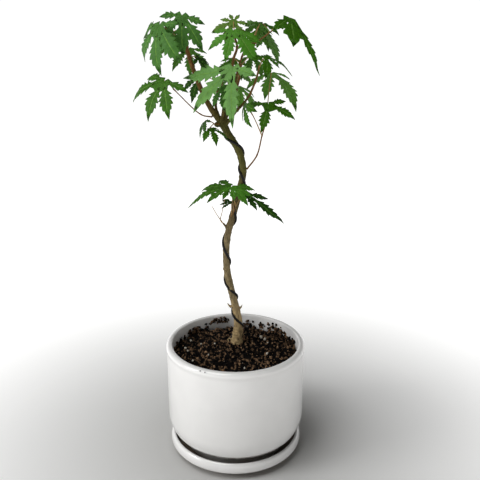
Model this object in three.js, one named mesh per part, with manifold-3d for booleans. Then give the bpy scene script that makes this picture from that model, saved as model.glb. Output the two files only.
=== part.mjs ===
// A young Japanese maple, trained with wire, in a white cylinder pot that stands on its saucer.
// Millimetres, +Z up, the front faces -Y. The origin is the middle of the saucer's flat underside.
import * as THREE from 'three';
import { mergeVertices } from 'three/addons/utils/BufferGeometryUtils.js';
import Module from 'manifold-3d';

const wasm = await Module();
wasm.setup();

// ---------------------------------------------------------------- driving dimensions

// Space left between neighbouring pieces.
const GAP = 0.3;

const SAUCER = { radius: 58, height: 14.3, wall: 4, floor: 3, baseRadius: 46.5 };
// The saucer's side flares up to a rounded lip, and its inside has a round cove.
const SAUCER_LIP = { shoulder: 8.2, outer: 3, edge: 1.5 };
const SAUCER_COVE = 6;
const POT = { radius: 59.8, top: 98.6, wall: 5.3, lip: 3.6, innerLip: 1.2, footRadius: 44, footTop: 12.4 };
// The pot's lower corner is a quarter of an ellipse that ends at this height, and so is the inside's.
const CORNER_TOP = 33.9;
const POT_CORNER = { width: 18.4, height: 22 };
const INSIDE_CORNER = { width: 16.4, height: 19 };
const ROUND_SEGMENTS = 48;

// The soil is a low mound: flat under the trunk, and lower where it meets the pot's wall.
const SOIL = { crown: 91.5, edge: 83.5, flatRadius: 18 };

// The trunk snakes up from its foot. Each knot is a point of its axis and its radius there.
const TRUNK_FOOT = SOIL.crown + GAP;
const TRUNK_KNOTS = [
  [1, 10.5, TRUNK_FOOT, 5.6], [1.4, 10, 96, 4.7], [2.3, 8, 112, 3.8], [-0.8, 6, 131, 3.2],
  [-5.8, 4, 153.5, 3.1], [-7.6, 3, 171, 2.9], [-6.3, 0, 192.5, 2.8], [-1.9, -4, 210.5, 2.9],
  [3.3, -7, 231, 2.7], [6.3, -8, 248.5, 2.8], [3, -6, 263, 2.8], [-5, -3, 275.5, 2.9],
  [-10.5, 0, 284.5, 3],
];

// Boughs spring from the fork at the trunk's tip. Knots are written as the trunk's are.
const BOUGHS = {
  bough_left: [
    [-10.5, 0.5, 284.5, 2.8], [-17, 2, 292.5, 2.4], [-23, 4, 302.5, 2], [-29, 6, 316, 1.9],
    [-34.5, 8, 331, 1.7],
  ],
  bough_inner: [[-10, 2, 284, 1.3], [-15, 8, 295, 1.2], [-14, 14, 306, 1.1]],
  bough_centre: [[-9.5, 0, 284, 1.8], [-7.3, 2, 297, 1.5], [-4.5, 1.5, 310, 1.3], [-1, 0, 331, 1.1]],
  bough_right_high: [
    [-8.5, -1.5, 283, 1.3], [-3.8, -3, 296, 1], [0, -3.5, 312, 0.9], [3, -1, 326, 0.8],
    [6.5, 2, 336, 0.8],
  ],
  bough_right_low: [[-7.5, -2, 282, 1.5], [1, -6, 293.5, 1.2], [7, -5, 299.5, 1.1], [11, -4, 305, 0.9]],
  bough_front: [[-10.5, -1.5, 283.5, 1.3], [-8.5, -7, 295, 1.2], [-6, -8.5, 305, 1]],
  bough_back: [[-9, 2, 283.5, 1.6], [-5, 9, 293, 1.4], [0, 17, 306, 1.2]],
};

// How finely the limbs are cut.
const TRUNK_SIDES = 10;
const TRUNK_STEPS = 36;
const BOUGH_SIDES = 8;
const STEM_SIDES = 6;
const STEPS_PER_KNOT = 3;

// Wire is wound round the trunk from the soil to the left bough, and crosses the front at these heights.
const WIRE_RADIUS = 0.75;
const WIRE_CROSSINGS = [87, 115, 144, 178, 216, 243, 269, 293];
const WIRE_FOOT = 94;
const WIRE_END = 280;

// A blade's usual lobes: the angle of each to the middle one, and its share of the blade's length.
const LOBES = [[-92, 0.6], [-44, 0.92], [0, 1], [44, 0.92], [92, 0.6]];
// Half-widths of a lobe at fractions of its length, both as shares of that length.
const LOBE_STATIONS = [[0.55, 0.13], [0.8, 0.08]];
// How far the notches between the lobes, and the heel behind the root, lie from the root.
const NOTCH_SHARE = 0.34;
const HEEL_SHARE = 0.07;
const BLADE_THICKNESS = 0.8;
const PETIOLE_RADIUS = 0.6;
const PETIOLE_SIDES = 4;
const PETIOLE_STEPS = 4;
// A petiole springs from this stretch of its stem, and rises by a share of its length in the middle.
const PETIOLE_ROOTS = [0.08, 0.94];
const PETIOLE_ARCH = 0.08;

// What a leaf laid by the rule may be: least and most, in millimetres and degrees.
const SPARE = {
  fan: 110,
  petiole: [12, 20],
  rise: [-2, 8],
  length: [22, 32],
  dip: [10, 35],
  roll: [-15, 15],
  bend: [50, 80],
};
// A leaf laid by the rule keeps this far off a limb's axis.
const LIMB_BERTH = 4.5;

// Each mass of foliage: its stem's knots, and its leaves. A leaf has its blade's root, the compass
// heading of the middle lobe (0 is +X, 90 is +Y), that lobe's dip below the horizontal and the
// blade's roll about it, how far the blade bends down along its length, all in degrees, and its
// length. Its petiole springs from the stem's knot number from, and lobes lists its own lobes where
// they aren't the usual ones. The rule in spareLeaves adds more leaves.
const MASSES = {
  foliage_left_top: {
    seed: 11, spare: 2, turn: 120, reach: 46,
    stem: [[-34.7, 8.1, 331.7, 1.7], [-37, 9, 340, 1.6], [-38, 10, 354, 1.3]],
    leaves: [
      {
        at: [-56, 0, 356], from: 1, heading: -120, dip: 55, roll: -10, bend: 55, length: 38,
        lobes: [[-99, 1], [-48, 0.92], [1, 1.03], [41, 0.99], [88, 0.5]],
      },
      {
        at: [-39.5, 5, 363], from: 2, heading: -90, dip: 66, roll: 0, bend: 35, length: 36,
        lobes: [[-92, 0.5], [-46, 0.7], [0, 0.85], [36, 0.87], [68, 0.52]],
      },
      { at: [-29, 11, 333], from: 0, heading: 5, dip: 25, roll: -25, bend: 45, length: 17 },
    ],
  },
  foliage_centre: {
    seed: 23, spare: 2, turn: 90, reach: 40,
    stem: [[-0.9, 0, 332, 1.05], [1.7, -1, 340, 0.95], [-0.5, -4, 348, 0.75]],
    leaves: [
      {
        at: [-1, -5, 352], from: 2, heading: -106, dip: 40, roll: 9, bend: 50, length: 29,
        lobes: [[-88, 0.6], [-42, 0.84], [1, 0.94], [49, 1.1], [85, 0.85]],
      },
      {
        at: [-1, 5, 358.5], from: 2, heading: -95, dip: 50, roll: 0, bend: 40, length: 24,
        lobes: [[-158, 0.4], [-108, 0.5], [-65, 0.78], [-20, 0.85], [35, 0.8], [84, 0.5], [150, 0.4]],
      },
    ],
  },
  foliage_right_top: {
    seed: 31, spare: 1, turn: 75, reach: 52,
    stem: [[7.1, 2.2, 336.6, 0.75], [13.7, 2, 341.5, 0.65], [27.7, 0, 351.5, 0.5]],
    leaves: [
      {
        at: [19, 6, 357], from: 1, heading: 40, dip: 40, roll: -15, bend: 30, length: 34,
        lobes: [[-62, 0.42], [-3, 1.08], [44, 0.95], [84, 0.66]],
      },
      {
        at: [40.5, -2, 361], from: 2, heading: -10, dip: 35, roll: -25, bend: 40, length: 50,
        lobes: [[-93, 0.5], [-54, 0.57], [-23, 0.98]],
      },
    ],
  },
  foliage_front: {
    seed: 5, spare: 0, turn: 0, reach: 50,
    stem: [[-5.9, -8.6, 305.9, 1], [-5, -9, 311, 0.9], [-3.5, -10, 317, 0.8]],
    leaves: [
      {
        at: [-1.5, -22, 326], from: 2, heading: -174, dip: 46, roll: 38, bend: 8, length: 48,
        lobes: [[-45, 0.96], [-8, 0.92], [49, 1.04], [107, 0.5]],
      },
      {
        at: [-9, -11, 311.5], from: 0, heading: -95, dip: 55, roll: -14, bend: 35, length: 20,
        lobes: [[-80, 0.6], [-36, 0.86], [2, 0.96], [38, 0.85], [80, 0.6]],
      },
    ],
  },
  foliage_right: {
    seed: 47, spare: 1, turn: 50, reach: 36,
    stem: [[11.5, -3.9, 305.7, 0.85], [16, -2, 316.5, 0.75], [18.6, 0, 326.5, 0.65]],
    leaves: [
      {
        at: [22.8, -6, 333.6], from: 2, heading: -32, dip: 24, roll: -4, bend: 40, length: 30,
        lobes: [[-91, 0.55], [-47, 0.9], [0, 0.5], [47, 0.96], [98, 0.5]],
      },
    ],
  },
  foliage_twig: {
    seed: 3, spare: 0, turn: 0, reach: 60,
    stem: [[9.6, -8, 249.6, 0.7], [17, -8, 260, 0.6], [20.8, -8, 275, 0.55], [24.5, -9, 288, 0.5]],
    leaves: [
      {
        at: [25.4, -12, 299.3], from: 3, heading: -20, dip: 25, roll: -35, bend: 34, length: 23,
        lobes: [[-149, 0.79], [-71, 1.09], [8, 1.05], [60, 0.74]],
      },
      {
        at: [28, 8, 321.6], from: 3, heading: 42, dip: 14, roll: 11, bend: 70, length: 38,
        lobes: [[-42, 0.42], [3, 1.12], [50, 0.84], [98, 0.72]],
      },
      {
        at: [7, -14, 299.5], from: 2, heading: -100, dip: 40, roll: -65, bend: 50, length: 25,
        lobes: [[-100, 0.45], [-56, 0.55], [1, 0.93], [40, 0.88]],
      },
    ],
  },
  foliage_left: {
    seed: 17, spare: 0, turn: 0, reach: 40,
    stem: [[-18.2, 0.8, 288.5, 0.6], [-26, -2, 290.5, 0.5], [-46.5, -7, 310, 0.4]],
    leaves: [
      {
        at: [-53, -8, 316], from: 2, heading: -135, dip: 40, roll: 15, bend: 50, length: 36,
        lobes: [[-100, 0.77], [-61, 1.13], [-1, 0.96], [40, 0.91], [91, 0.62]],
      },
    ],
  },
  foliage_fork: {
    seed: 29, spare: 0, turn: 0, reach: 26,
    stem: [[-13.2, -2.6, 283.4, 0.5], [-16, -6, 284, 0.4]],
    leaves: [
      {
        at: [-19, -12, 281.5], from: 1, heading: -55, dip: 20, roll: 0, bend: 45, length: 18,
        lobes: [[-47, 0.92], [-2, 1.04], [55, 0.98], [100, 0.6]],
      },
      {
        at: [-22, -8, 287], from: 1, heading: -160, dip: 45, roll: 0, bend: 45, length: 15,
        lobes: [[-45, 0.85], [0, 1], [44, 0.9], [90, 0.5]],
      },
    ],
  },
  foliage_inner: {
    seed: 53, spare: 2, turn: 130, reach: 42,
    stem: [[-13.7, 14.6, 306.7, 1], [-11, 17, 312, 0.9], [-9, 20, 320, 0.8]],
    leaves: [
      {
        at: [-26.5, 14, 319], from: 1, heading: -120, dip: 45, roll: 10, bend: 40, length: 25,
        lobes: [[-90, 0.6], [-48, 0.8], [-5, 0.95]],
      },
    ],
  },
  foliage_back: {
    seed: 62, spare: 4, turn: 80, reach: 52,
    stem: [[0.4, 17.6, 306.8, 1.1], [3, 22, 316, 1], [5, 26, 328, 0.8]],
    leaves: [],
  },
  foliage_low: {
    seed: 7, spare: 0, turn: 0, reach: 50,
    stem: [[-3.2, -7.6, 211, 0.45], [-1, -11.5, 216, 0.4], [0.5, -12.5, 221, 0.35]],
    leaves: [
      {
        at: [-3.4, -14, 237.2], from: 1, heading: -173, dip: 12, roll: 18, bend: 34, length: 36,
        lobes: [[-70, 0.6], [-36, 0.8], [-8, 1.12], [22, 0.66], [58, 0.45]],
      },
      {
        at: [-2.5, -20, 237.5], from: 2, heading: -52, dip: 32, roll: -12, bend: 35, length: 23,
        lobes: [[-88, 0.4], [-22, 0.55], [16, 0.86], [48, 0.8], [78, 0.95]],
      },
      {
        at: [8, -12, 231], from: 2, heading: -15, dip: 28, roll: -18, bend: 14, length: 42,
        lobes: [[-32, 0.45], [-3, 0.92], [30, 0.5]],
      },
      {
        at: [-2.8, -13, 224], from: 0, heading: 175, dip: 10, roll: 20, bend: 30, length: 16,
        lobes: [[-50, 0.9], [-12, 0.7], [30, 0.6]],
      },
    ],
  },
};

// ---------------------------------------------------------------- materials

const finish = (color, roughness) => new THREE.MeshStandardMaterial({ color, roughness, metalness: 0 });
const CERAMIC = finish('#e4e3e0', 0.5);
const EARTH = finish('#2a1c12', 0.95);
const BARK = finish('#6b5f3c', 0.85);
const YOUNG_BARK = finish('#7a4f2a', 0.75);
const LEAF = finish('#2f7a1f', 0.55);
const BLACK_WIRE = finish('#14110f', 0.5);

// ---------------------------------------------------------------- shapes shared by the pieces

// Park and Miller's generator: the same seed always gives the same draws, from 0 to 1.
function seeded(seed) {
  let state = seed * 7919;
  return () => {
    state = (state * 16807) % 2147483647;
    return state / 2147483647;
  };
}

const radians = THREE.MathUtils.degToRad;
const between = ([least, most], share) => THREE.MathUtils.lerp(least, most, share);

// A quarter or less of an ellipse in a lathe's profile, as [radius, height] points.
function arc([centreRadius, centreHeight], width, height, from, to, steps) {
  return Array.from({ length: steps + 1 }, (_, i) => {
    const angle = radians(from + ((to - from) * i) / steps);
    return [centreRadius + width * Math.cos(angle), centreHeight + height * Math.sin(angle)];
  });
}

// A body of revolution about the vertical axis, from a profile that starts and ends on the axis.
function turned(profile) {
  const points = profile.map(([radius, height]) => new THREE.Vector2(radius, height));
  const geometry = new THREE.LatheGeometry(points, ROUND_SEGMENTS);
  geometry.rotateX(Math.PI / 2);
  return geometry;
}

// The smooth axis through a limb's knots, with the radius at any fraction of its way.
function limbAxis(knots) {
  const curve = new THREE.CatmullRomCurve3(knots.map(([x, y, z]) => new THREE.Vector3(x, y, z)));
  const last = knots.length - 1;
  const radius = (t) => {
    const knot = Math.min(Math.floor(t * last), last - 1);
    return THREE.MathUtils.lerp(knots[knot][3], knots[knot + 1][3], t * last - knot);
  };
  return { curve, radius };
}

// A tapering round limb: an upright cylinder whose rings are set along the axis. Grown is what it
// is made thicker by, and level says that the first ring lies flat, as a trunk's foot does.
function limb(knots, sides, steps, { grown = 0, level = false } = {}) {
  const { curve, radius } = limbAxis(knots);
  const geometry = new THREE.CylinderGeometry(1, 1, steps, sides, steps);
  const place = geometry.attributes.position;
  const up = new THREE.Vector3(0, 0, 1);
  const turn = new THREE.Quaternion();
  const point = new THREE.Vector3();
  for (let i = 0; i < place.count; i += 1) {
    const t = (place.getY(i) + steps / 2) / steps;
    const along = level && t === 0 ? up : curve.getTangent(t);
    turn.setFromUnitVectors(up, along);
    const size = radius(t) + grown;
    point.set(place.getX(i) * size, -place.getZ(i) * size, 0);
    point.applyQuaternion(turn).add(curve.getPoint(t));
    place.setXYZ(i, point.x, point.y, point.z);
  }
  return geometry;
}

// A closed mesh as a solid that can be joined and cut.
function solidOf(geometry) {
  const bare = geometry.clone();
  bare.deleteAttribute('normal');
  bare.deleteAttribute('uv');
  const welded = mergeVertices(bare, 1e-4);
  const corners = [];
  for (let i = 0; i < welded.index.count; i += 3) {
    const [a, b, c] = [0, 1, 2].map((k) => welded.index.getX(i + k));
    if (a !== b && b !== c && c !== a) corners.push(a, b, c);
  }
  const vertProperties = new Float32Array(welded.attributes.position.array);
  const triVerts = new Uint32Array(corners);
  return new wasm.Manifold(new wasm.Mesh({ numProp: 3, vertProperties, triVerts }));
}

function geometryOf(solid) {
  const { vertProperties, triVerts } = solid.getMesh();
  const geometry = new THREE.BufferGeometry();
  geometry.setAttribute('position', new THREE.BufferAttribute(vertProperties, 3));
  geometry.setIndex(new THREE.BufferAttribute(triVerts, 1));
  return geometry;
}

// The largest closed body of a solid: fusing can seal a hollow and cutting can leave a scrap, and
// both are dropped.
function outermost(solid) {
  return solid.decompose().reduce((best, part) => (part.volume() > best.volume() ? part : best));
}

// ---------------------------------------------------------------- leaves

// The blade's frame: along the middle lobe, up out of the upper face, and to the left of the lobe.
function bladeFrame({ heading, dip, roll }) {
  const course = new THREE.Vector3(Math.cos(radians(heading)), Math.sin(radians(heading)), 0);
  const up = new THREE.Vector3(0, 0, 1);
  const sink = radians(dip);
  const along = course.clone().multiplyScalar(Math.cos(sink)).addScaledVector(up, -Math.sin(sink));
  const face = course.clone().multiplyScalar(Math.sin(sink)).addScaledVector(up, Math.cos(sink));
  const left = new THREE.Vector3().crossVectors(face, along);
  face.applyAxisAngle(along, -radians(roll));
  left.applyAxisAngle(along, -radians(roll));
  return { along, face, left };
}

// Bends a flat blade down all round, as the top of a ball: a point at a distance and an angle
// from the blade's root, this deep below its upper face.
function onBlade(leaf, frame, distance, angle, depth) {
  const ball = leaf.length / radians(leaf.bend);
  const outward = frame.along.clone().multiplyScalar(Math.cos(angle));
  outward.addScaledVector(frame.left, Math.sin(angle));
  const turn = distance / ball;
  return new THREE.Vector3(...leaf.at)
    .addScaledVector(outward, (ball - depth) * Math.sin(turn))
    .addScaledVector(frame.face, (ball - depth) * Math.cos(turn) - ball);
}

// A blade's flat net: its points as distance and angle from the root, which comes first, the
// triangles between them, and the loop of points round its rim.
function bladeNet({ length, lobes = LOBES }) {
  const shown = lobes.map(([angle, share]) => [radians(angle), share * length]);
  const points = [[0, 0], [HEEL_SHARE * length, Math.PI]];
  const faces = [];
  const rim = [];
  let before = 1;
  shown.forEach(([axis, reach], i) => {
    const a = points.length;
    const [wide, narrow] = LOBE_STATIONS.map(([along, half]) => (
      [reach * Math.hypot(along, half), Math.atan2(half, along)]
    ));
    points.push([wide[0], axis - wide[1]], [narrow[0], axis - narrow[1]], [reach, axis]);
    points.push([narrow[0], axis + narrow[1]], [wide[0], axis + wide[1]]);
    let after = 1;
    if (i < shown.length - 1) {
      const [nextAxis, nextReach] = shown[i + 1];
      after = points.push([NOTCH_SHARE * Math.min(reach, nextReach), (axis + nextAxis) / 2]) - 1;
    }
    faces.push([0, before, after], [before, a, a + 4], [before, a + 4, after]);
    faces.push([a, a + 1, a + 3], [a, a + 3, a + 4], [a + 1, a + 2, a + 3]);
    rim.push(before, a, a + 1, a + 2, a + 3, a + 4);
    before = after;
  });
  return { points, faces, rim };
}

// The blade as a thin solid: its net bent to shape twice over, and a wall round the rim.
function bladeSolid(leaf) {
  const { points, faces, rim } = bladeNet(leaf);
  const frame = bladeFrame(leaf);
  const under = points.length;
  const corners = [0, BLADE_THICKNESS].flatMap((depth) => (
    points.flatMap(([distance, angle]) => onBlade(leaf, frame, distance, angle, depth).toArray())
  ));
  const triangles = faces.flatMap(([a, b, c]) => [a, b, c, under + a, under + c, under + b]);
  rim.forEach((a, i) => {
    const b = rim[(i + 1) % rim.length];
    triangles.push(a, under + a, under + b, a, under + b, b);
  });
  const geometry = new THREE.BufferGeometry();
  geometry.setAttribute('position', new THREE.Float32BufferAttribute(corners, 3));
  geometry.setIndex(triangles);
  return solidOf(geometry);
}

// The petiole rises in a low arch from inside its stem, near the named knot, into the blade.
function petioleSolid(leaf, stem) {
  const along = THREE.MathUtils.clamp(leaf.from / (stem.length - 1), ...PETIOLE_ROOTS);
  const root = limbAxis(stem).curve.getPoint(along);
  const anchor = onBlade(leaf, bladeFrame(leaf), 0, 0, BLADE_THICKNESS / 2);
  const arch = root.clone().lerp(anchor, 0.5);
  arch.z += PETIOLE_ARCH * root.distanceTo(anchor);
  const knots = [root, arch, anchor].map((p) => [p.x, p.y, p.z, PETIOLE_RADIUS]);
  return solidOf(limb(knots, PETIOLE_SIDES, PETIOLE_STEPS));
}

// Whether any lobe of a leaf comes too near the axis of the trunk or of a bough.
function touchesLimb(leaf) {
  const frame = bladeFrame(leaf);
  const probes = LOBES.flatMap(([angle, share]) => [0, 0.3, 0.6, 0.9].map((part) => (
    onBlade(leaf, frame, part * share * leaf.length, radians(angle), BLADE_THICKNESS / 2)
  )));
  return [TRUNK_KNOTS, ...Object.values(BOUGHS)].some((knots) => {
    const axis = limbAxis(knots).curve.getPoints(6 * knots.length);
    return axis.some((point) => probes.some((probe) => probe.distanceTo(point) < LIMB_BERTH));
  });
}

// The seeded rule for leaves beyond the named ones: they spring from the stem's knots, the tip's
// first, and fan out round the mass's own heading. One that would leave the mass's space or touch
// a limb is skipped.
function spareLeaves({ seed, spare, turn, reach, stem }) {
  const draw = seeded(seed);
  const leaves = [];
  for (let i = 0; i < spare; i += 1) {
    const from = stem.length - 1 - (i % stem.length);
    const heading = turn + SPARE.fan * (draw() - 0.5);
    const petiole = between(SPARE.petiole, draw());
    const rise = between(SPARE.rise, draw());
    const [x, y, z] = stem[from];
    const leaf = {
      at: [x + petiole * Math.cos(radians(heading)), y + petiole * Math.sin(radians(heading)), z + rise],
      from,
      heading,
      length: between(SPARE.length, draw()),
      dip: between(SPARE.dip, draw()),
      roll: between(SPARE.roll, draw()),
      bend: between(SPARE.bend, draw()),
    };
    if (petiole + leaf.length < reach && !touchesLimb(leaf)) leaves.push(leaf);
  }
  return leaves;
}

function foliage(mass) {
  const leaves = [...mass.leaves, ...spareLeaves(mass)];
  const pieces = [solidOf(limb(mass.stem, STEM_SIDES, STEPS_PER_KNOT * (mass.stem.length - 1)))];
  leaves.forEach((leaf) => pieces.push(petioleSolid(leaf, mass.stem), bladeSolid(leaf)));
  return outermost(wasm.Manifold.union(pieces));
}

// ---------------------------------------------------------------- the pieces

const maple = new THREE.Group();

function piece(name, geometry, material) {
  const mesh = new THREE.Mesh(geometry, material);
  mesh.name = name;
  maple.add(mesh);
}

function saucer() {
  const { radius, height, wall, floor, baseRadius } = SAUCER;
  const { shoulder, outer, edge } = SAUCER_LIP;
  const inner = radius - wall;
  return turned([
    [0, 0],
    [baseRadius, 0],
    ...arc([radius - outer, shoulder], outer, outer, -50, 0, 2),
    ...arc([radius - outer, shoulder], outer, height - shoulder, 0, 90, 4).slice(1),
    ...arc([radius - outer, height - edge], wall - outer, edge, 90, 180, 2).slice(1),
    ...arc([inner - SAUCER_COVE, floor + SAUCER_COVE], SAUCER_COVE, SAUCER_COVE, 0, -90, 4),
    [0, floor],
  ]);
}

function pot() {
  const { radius, top, wall, lip, innerLip, footRadius, footTop } = POT;
  const foot = SAUCER.floor + GAP;
  const inner = radius - wall;
  return turned([
    [0, foot],
    [footRadius, foot],
    [footRadius, footTop],
    ...arc([radius - POT_CORNER.width, CORNER_TOP], POT_CORNER.width, POT_CORNER.height, -72, 0, 7),
    ...arc([radius - lip, top - lip], lip, lip, 0, 90, 4),
    ...arc([inner + innerLip, top - innerLip], innerLip, innerLip, 90, 180, 2),
    ...arc([inner - INSIDE_CORNER.width, CORNER_TOP], INSIDE_CORNER.width, INSIDE_CORNER.height, 0, -90, 5),
    [0, CORNER_TOP - INSIDE_CORNER.height],
  ]);
}

// The soil fills the pot's inside from its floor up to the mound.
function soil() {
  const { crown, edge, flatRadius } = SOIL;
  const inner = POT.radius - POT.wall - GAP;
  const { width, height } = INSIDE_CORNER;
  const floor = CORNER_TOP - height + GAP;
  return turned([
    [0, floor],
    ...arc([inner - width, CORNER_TOP], width, height - GAP, -90, 0, 5),
    [inner, edge],
    ...arc([flatRadius, edge], inner - flatRadius, crown - edge, 12, 90, 4).slice(0, -1),
    [flatRadius, crown],
    [0, crown],
  ]);
}

// The wire's helix: between two front crossings it goes once round, leftwards as it climbs the front.
function wire() {
  const way = [...TRUNK_KNOTS, ...BOUGHS.bough_left.slice(1, 4)];
  const { curve, radius } = limbAxis(way);
  const samples = 400;
  const axis = Array.from({ length: samples + 1 }, (_, i) => {
    const t = i / samples;
    return { centre: curve.getPoint(t), along: curve.getTangent(t), size: radius(t) };
  });
  const turnsAt = (z) => {
    const below = WIRE_CROSSINGS.findLastIndex((crossing) => crossing <= z);
    const k = Math.min(Math.max(below, 0), WIRE_CROSSINGS.length - 2);
    return k + (z - WIRE_CROSSINGS[k]) / (WIRE_CROSSINGS[k + 1] - WIRE_CROSSINGS[k]);
  };
  const up = new THREE.Vector3(0, 0, 1);
  const turn = new THREE.Quaternion();
  const steps = 72;
  const points = Array.from({ length: steps + 1 }, (_, i) => {
    const z = WIRE_FOOT + ((WIRE_END - WIRE_FOOT) * i) / steps;
    const { centre, along, size } = axis.find((sample) => sample.centre.z >= z);
    const angle = -Math.PI / 2 - 2 * Math.PI * turnsAt(z);
    const off = size + WIRE_RADIUS + GAP;
    const point = new THREE.Vector3(off * Math.cos(angle), off * Math.sin(angle), 0);
    turn.setFromUnitVectors(up, along);
    return point.applyQuaternion(turn).add(centre);
  });
  const path = new THREE.CatmullRomCurve3(points);
  const section = new THREE.Shape();
  section.absarc(0, 0, WIRE_RADIUS, 0, 2 * Math.PI);
  return new THREE.ExtrudeGeometry(section, { extrudePath: path, steps, curveSegments: 3 });
}

piece('saucer', saucer(), CERAMIC);
piece('pot', pot(), CERAMIC);
piece('soil', soil(), EARTH);
piece('trunk', limb(TRUNK_KNOTS, TRUNK_SIDES, TRUNK_STEPS, { level: true }), BARK);
piece('training_wire', wire(), BLACK_WIRE);

// Each bough is cut back to leave the gap round the trunk, and round the boughs made before it.
let taken = solidOf(limb(TRUNK_KNOTS, TRUNK_SIDES, TRUNK_STEPS, { grown: GAP, level: true }));
for (const [name, knots] of Object.entries(BOUGHS)) {
  const steps = STEPS_PER_KNOT * (knots.length - 1);
  const whole = solidOf(limb(knots, BOUGH_SIDES, steps));
  piece(name, geometryOf(outermost(whole.subtract(taken))), YOUNG_BARK);
  taken = taken.add(solidOf(limb(knots, BOUGH_SIDES, steps, { grown: GAP })));
}

for (const [name, mass] of Object.entries(MASSES)) {
  piece(name, geometryOf(foliage(mass)), LEAF);
}

export default maple;
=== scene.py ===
"""The dressed model of a young Japanese maple in a white glazed pot: leaves, twigs, bark and soil.

Sizes in the tables are millimetres, as in the part's source, and meshes are in metres.
"""

import math
from typing import NamedTuple

import bmesh
import bpy
from bpy.props import FloatProperty, FloatVectorProperty, IntProperty, PointerProperty
from mathutils import Euler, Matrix, Quaternion, Vector, noise


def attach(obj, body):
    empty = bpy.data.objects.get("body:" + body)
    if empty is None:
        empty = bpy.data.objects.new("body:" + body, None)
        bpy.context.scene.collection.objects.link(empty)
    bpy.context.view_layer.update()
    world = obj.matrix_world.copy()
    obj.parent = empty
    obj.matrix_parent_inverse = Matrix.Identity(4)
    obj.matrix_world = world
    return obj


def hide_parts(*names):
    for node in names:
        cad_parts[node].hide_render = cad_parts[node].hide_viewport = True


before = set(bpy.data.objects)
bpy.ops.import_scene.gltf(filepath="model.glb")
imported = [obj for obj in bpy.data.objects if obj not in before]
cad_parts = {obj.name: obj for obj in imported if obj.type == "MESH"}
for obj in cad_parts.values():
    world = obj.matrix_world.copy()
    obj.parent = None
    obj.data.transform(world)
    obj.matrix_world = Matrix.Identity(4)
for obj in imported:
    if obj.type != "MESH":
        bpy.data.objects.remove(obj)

bl_info = {
    "name": "Potted Maple",
    "version": (1, 0, 0),
    "blender": (4, 5, 0),
    "location": "3D View > Sidebar > Maple",
    "description": "Builds a young potted maple over its packed frame",
    "category": "Add Mesh",
}

MM = 0.001

# ---------------------------------------------------------------- sizes shared with the part's source

GAP = 0.3
SAUCER = {"radius": 58, "height": 14.3, "wall": 4, "floor": 3, "base_radius": 46.5}
SAUCER_LIP = {"shoulder": 8.2, "outer": 3, "edge": 1.5}
SAUCER_COVE = 6
POT = {
    "radius": 59.8, "top": 98.6, "wall": 5.3, "lip": 3.6, "inner_lip": 1.2, "foot_radius": 44,
    "foot_top": 12.4,
}
CORNER_TOP = 33.9
POT_CORNER = {"width": 18.4, "height": 22}
INSIDE_CORNER = {"width": 16.4, "height": 19}
SOIL = {"crown": 91.5, "edge": 83.5, "flat_radius": 18}

# Knots of the limbs: a point of the axis and the radius there.
TRUNK_KNOTS = [
    (1, 10.5, 91.8, 5.6), (1.4, 10, 96, 4.7), (2.3, 8, 112, 3.8), (-0.8, 6, 131, 3.2),
    (-5.8, 4, 153.5, 3.1), (-7.6, 3, 171, 2.9), (-6.3, 0, 192.5, 2.8), (-1.9, -4, 210.5, 2.9),
    (3.3, -7, 231, 2.7), (6.3, -8, 248.5, 2.8), (3, -6, 263, 2.8), (-5, -3, 275.5, 2.9),
    (-10.5, 0, 284.5, 3),
]
BOUGHS = {
    "bough_left": [
        (-10.5, 0.5, 284.5, 2.8), (-17, 2, 292.5, 2.4), (-23, 4, 302.5, 2), (-29, 6, 316, 1.9),
        (-34.5, 8, 331, 1.7),
    ],
    "bough_inner": [(-10, 2, 284, 1.3), (-15, 8, 295, 1.2), (-14, 14, 306, 1.1)],
    "bough_centre": [(-9.5, 0, 284, 1.8), (-7.3, 2, 297, 1.5), (-4.5, 1.5, 310, 1.3), (-1, 0, 331, 1.1)],
    "bough_right_high": [
        (-8.5, -1.5, 283, 1.3), (-3.8, -3, 296, 1), (0, -3.5, 312, 0.9), (3, -1, 326, 0.8),
        (6.5, 2, 336, 0.8),
    ],
    "bough_right_low": [(-7.5, -2, 282, 1.5), (1, -6, 293.5, 1.2), (7, -5, 299.5, 1.1), (11, -4, 305, 0.9)],
    "bough_front": [(-10.5, -1.5, 283.5, 1.3), (-8.5, -7, 295, 1.2), (-6, -8.5, 305, 1)],
    "bough_back": [(-9, 2, 283.5, 1.6), (-5, 9, 293, 1.4), (0, 17, 306, 1.2)],
}

LIMBS = [TRUNK_KNOTS, *BOUGHS.values()]

# The wire winds round the trunk from its foot to its end, and its pitch comes from the heights at
# which it crosses the front. The first and the last of them lie beyond its two ends.
WIRE_CROSSINGS = [87, 115, 144, 178, 216, 243, 269, 293]
WIRE_FOOT = 94
WIRE_END = 280

# A blade's usual lobes: the angle of each to the middle one, and its share of the blade's length.
LOBES = [(-92, 0.6), (-44, 0.92), (0, 1), (44, 0.92), (92, 0.6)]
# How far the notches lie from the root: a little deeper than on the source's coarser blades.
NOTCH_SHARE = 0.29
# A petiole springs from this stretch of its stem, and rises by a share of its length in the middle.
PETIOLE_ROOTS = (0.08, 0.94)
PETIOLE_ARCH = 0.08
# What a leaf laid by the rule may be: least and most, in millimetres and degrees.
SPARE = {
    "fan": 110, "petiole": (12, 20), "rise": (-2, 8), "length": (22, 32), "dip": (10, 35),
    "roll": (-15, 15), "bend": (50, 80),
}
# A leaf laid by the rule keeps this far off a limb's axis.
LIMB_BERTH = 4.5


class Leaf(NamedTuple):
    """A blade's root, the stem's knot it springs from, and its stance in degrees, as in the source."""

    at: tuple
    start: int
    heading: float
    dip: float
    roll: float
    bend: float
    length: float
    tint: str = "leaf_deep"
    lobes: list = LOBES
    notch: float = NOTCH_SHARE


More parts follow.
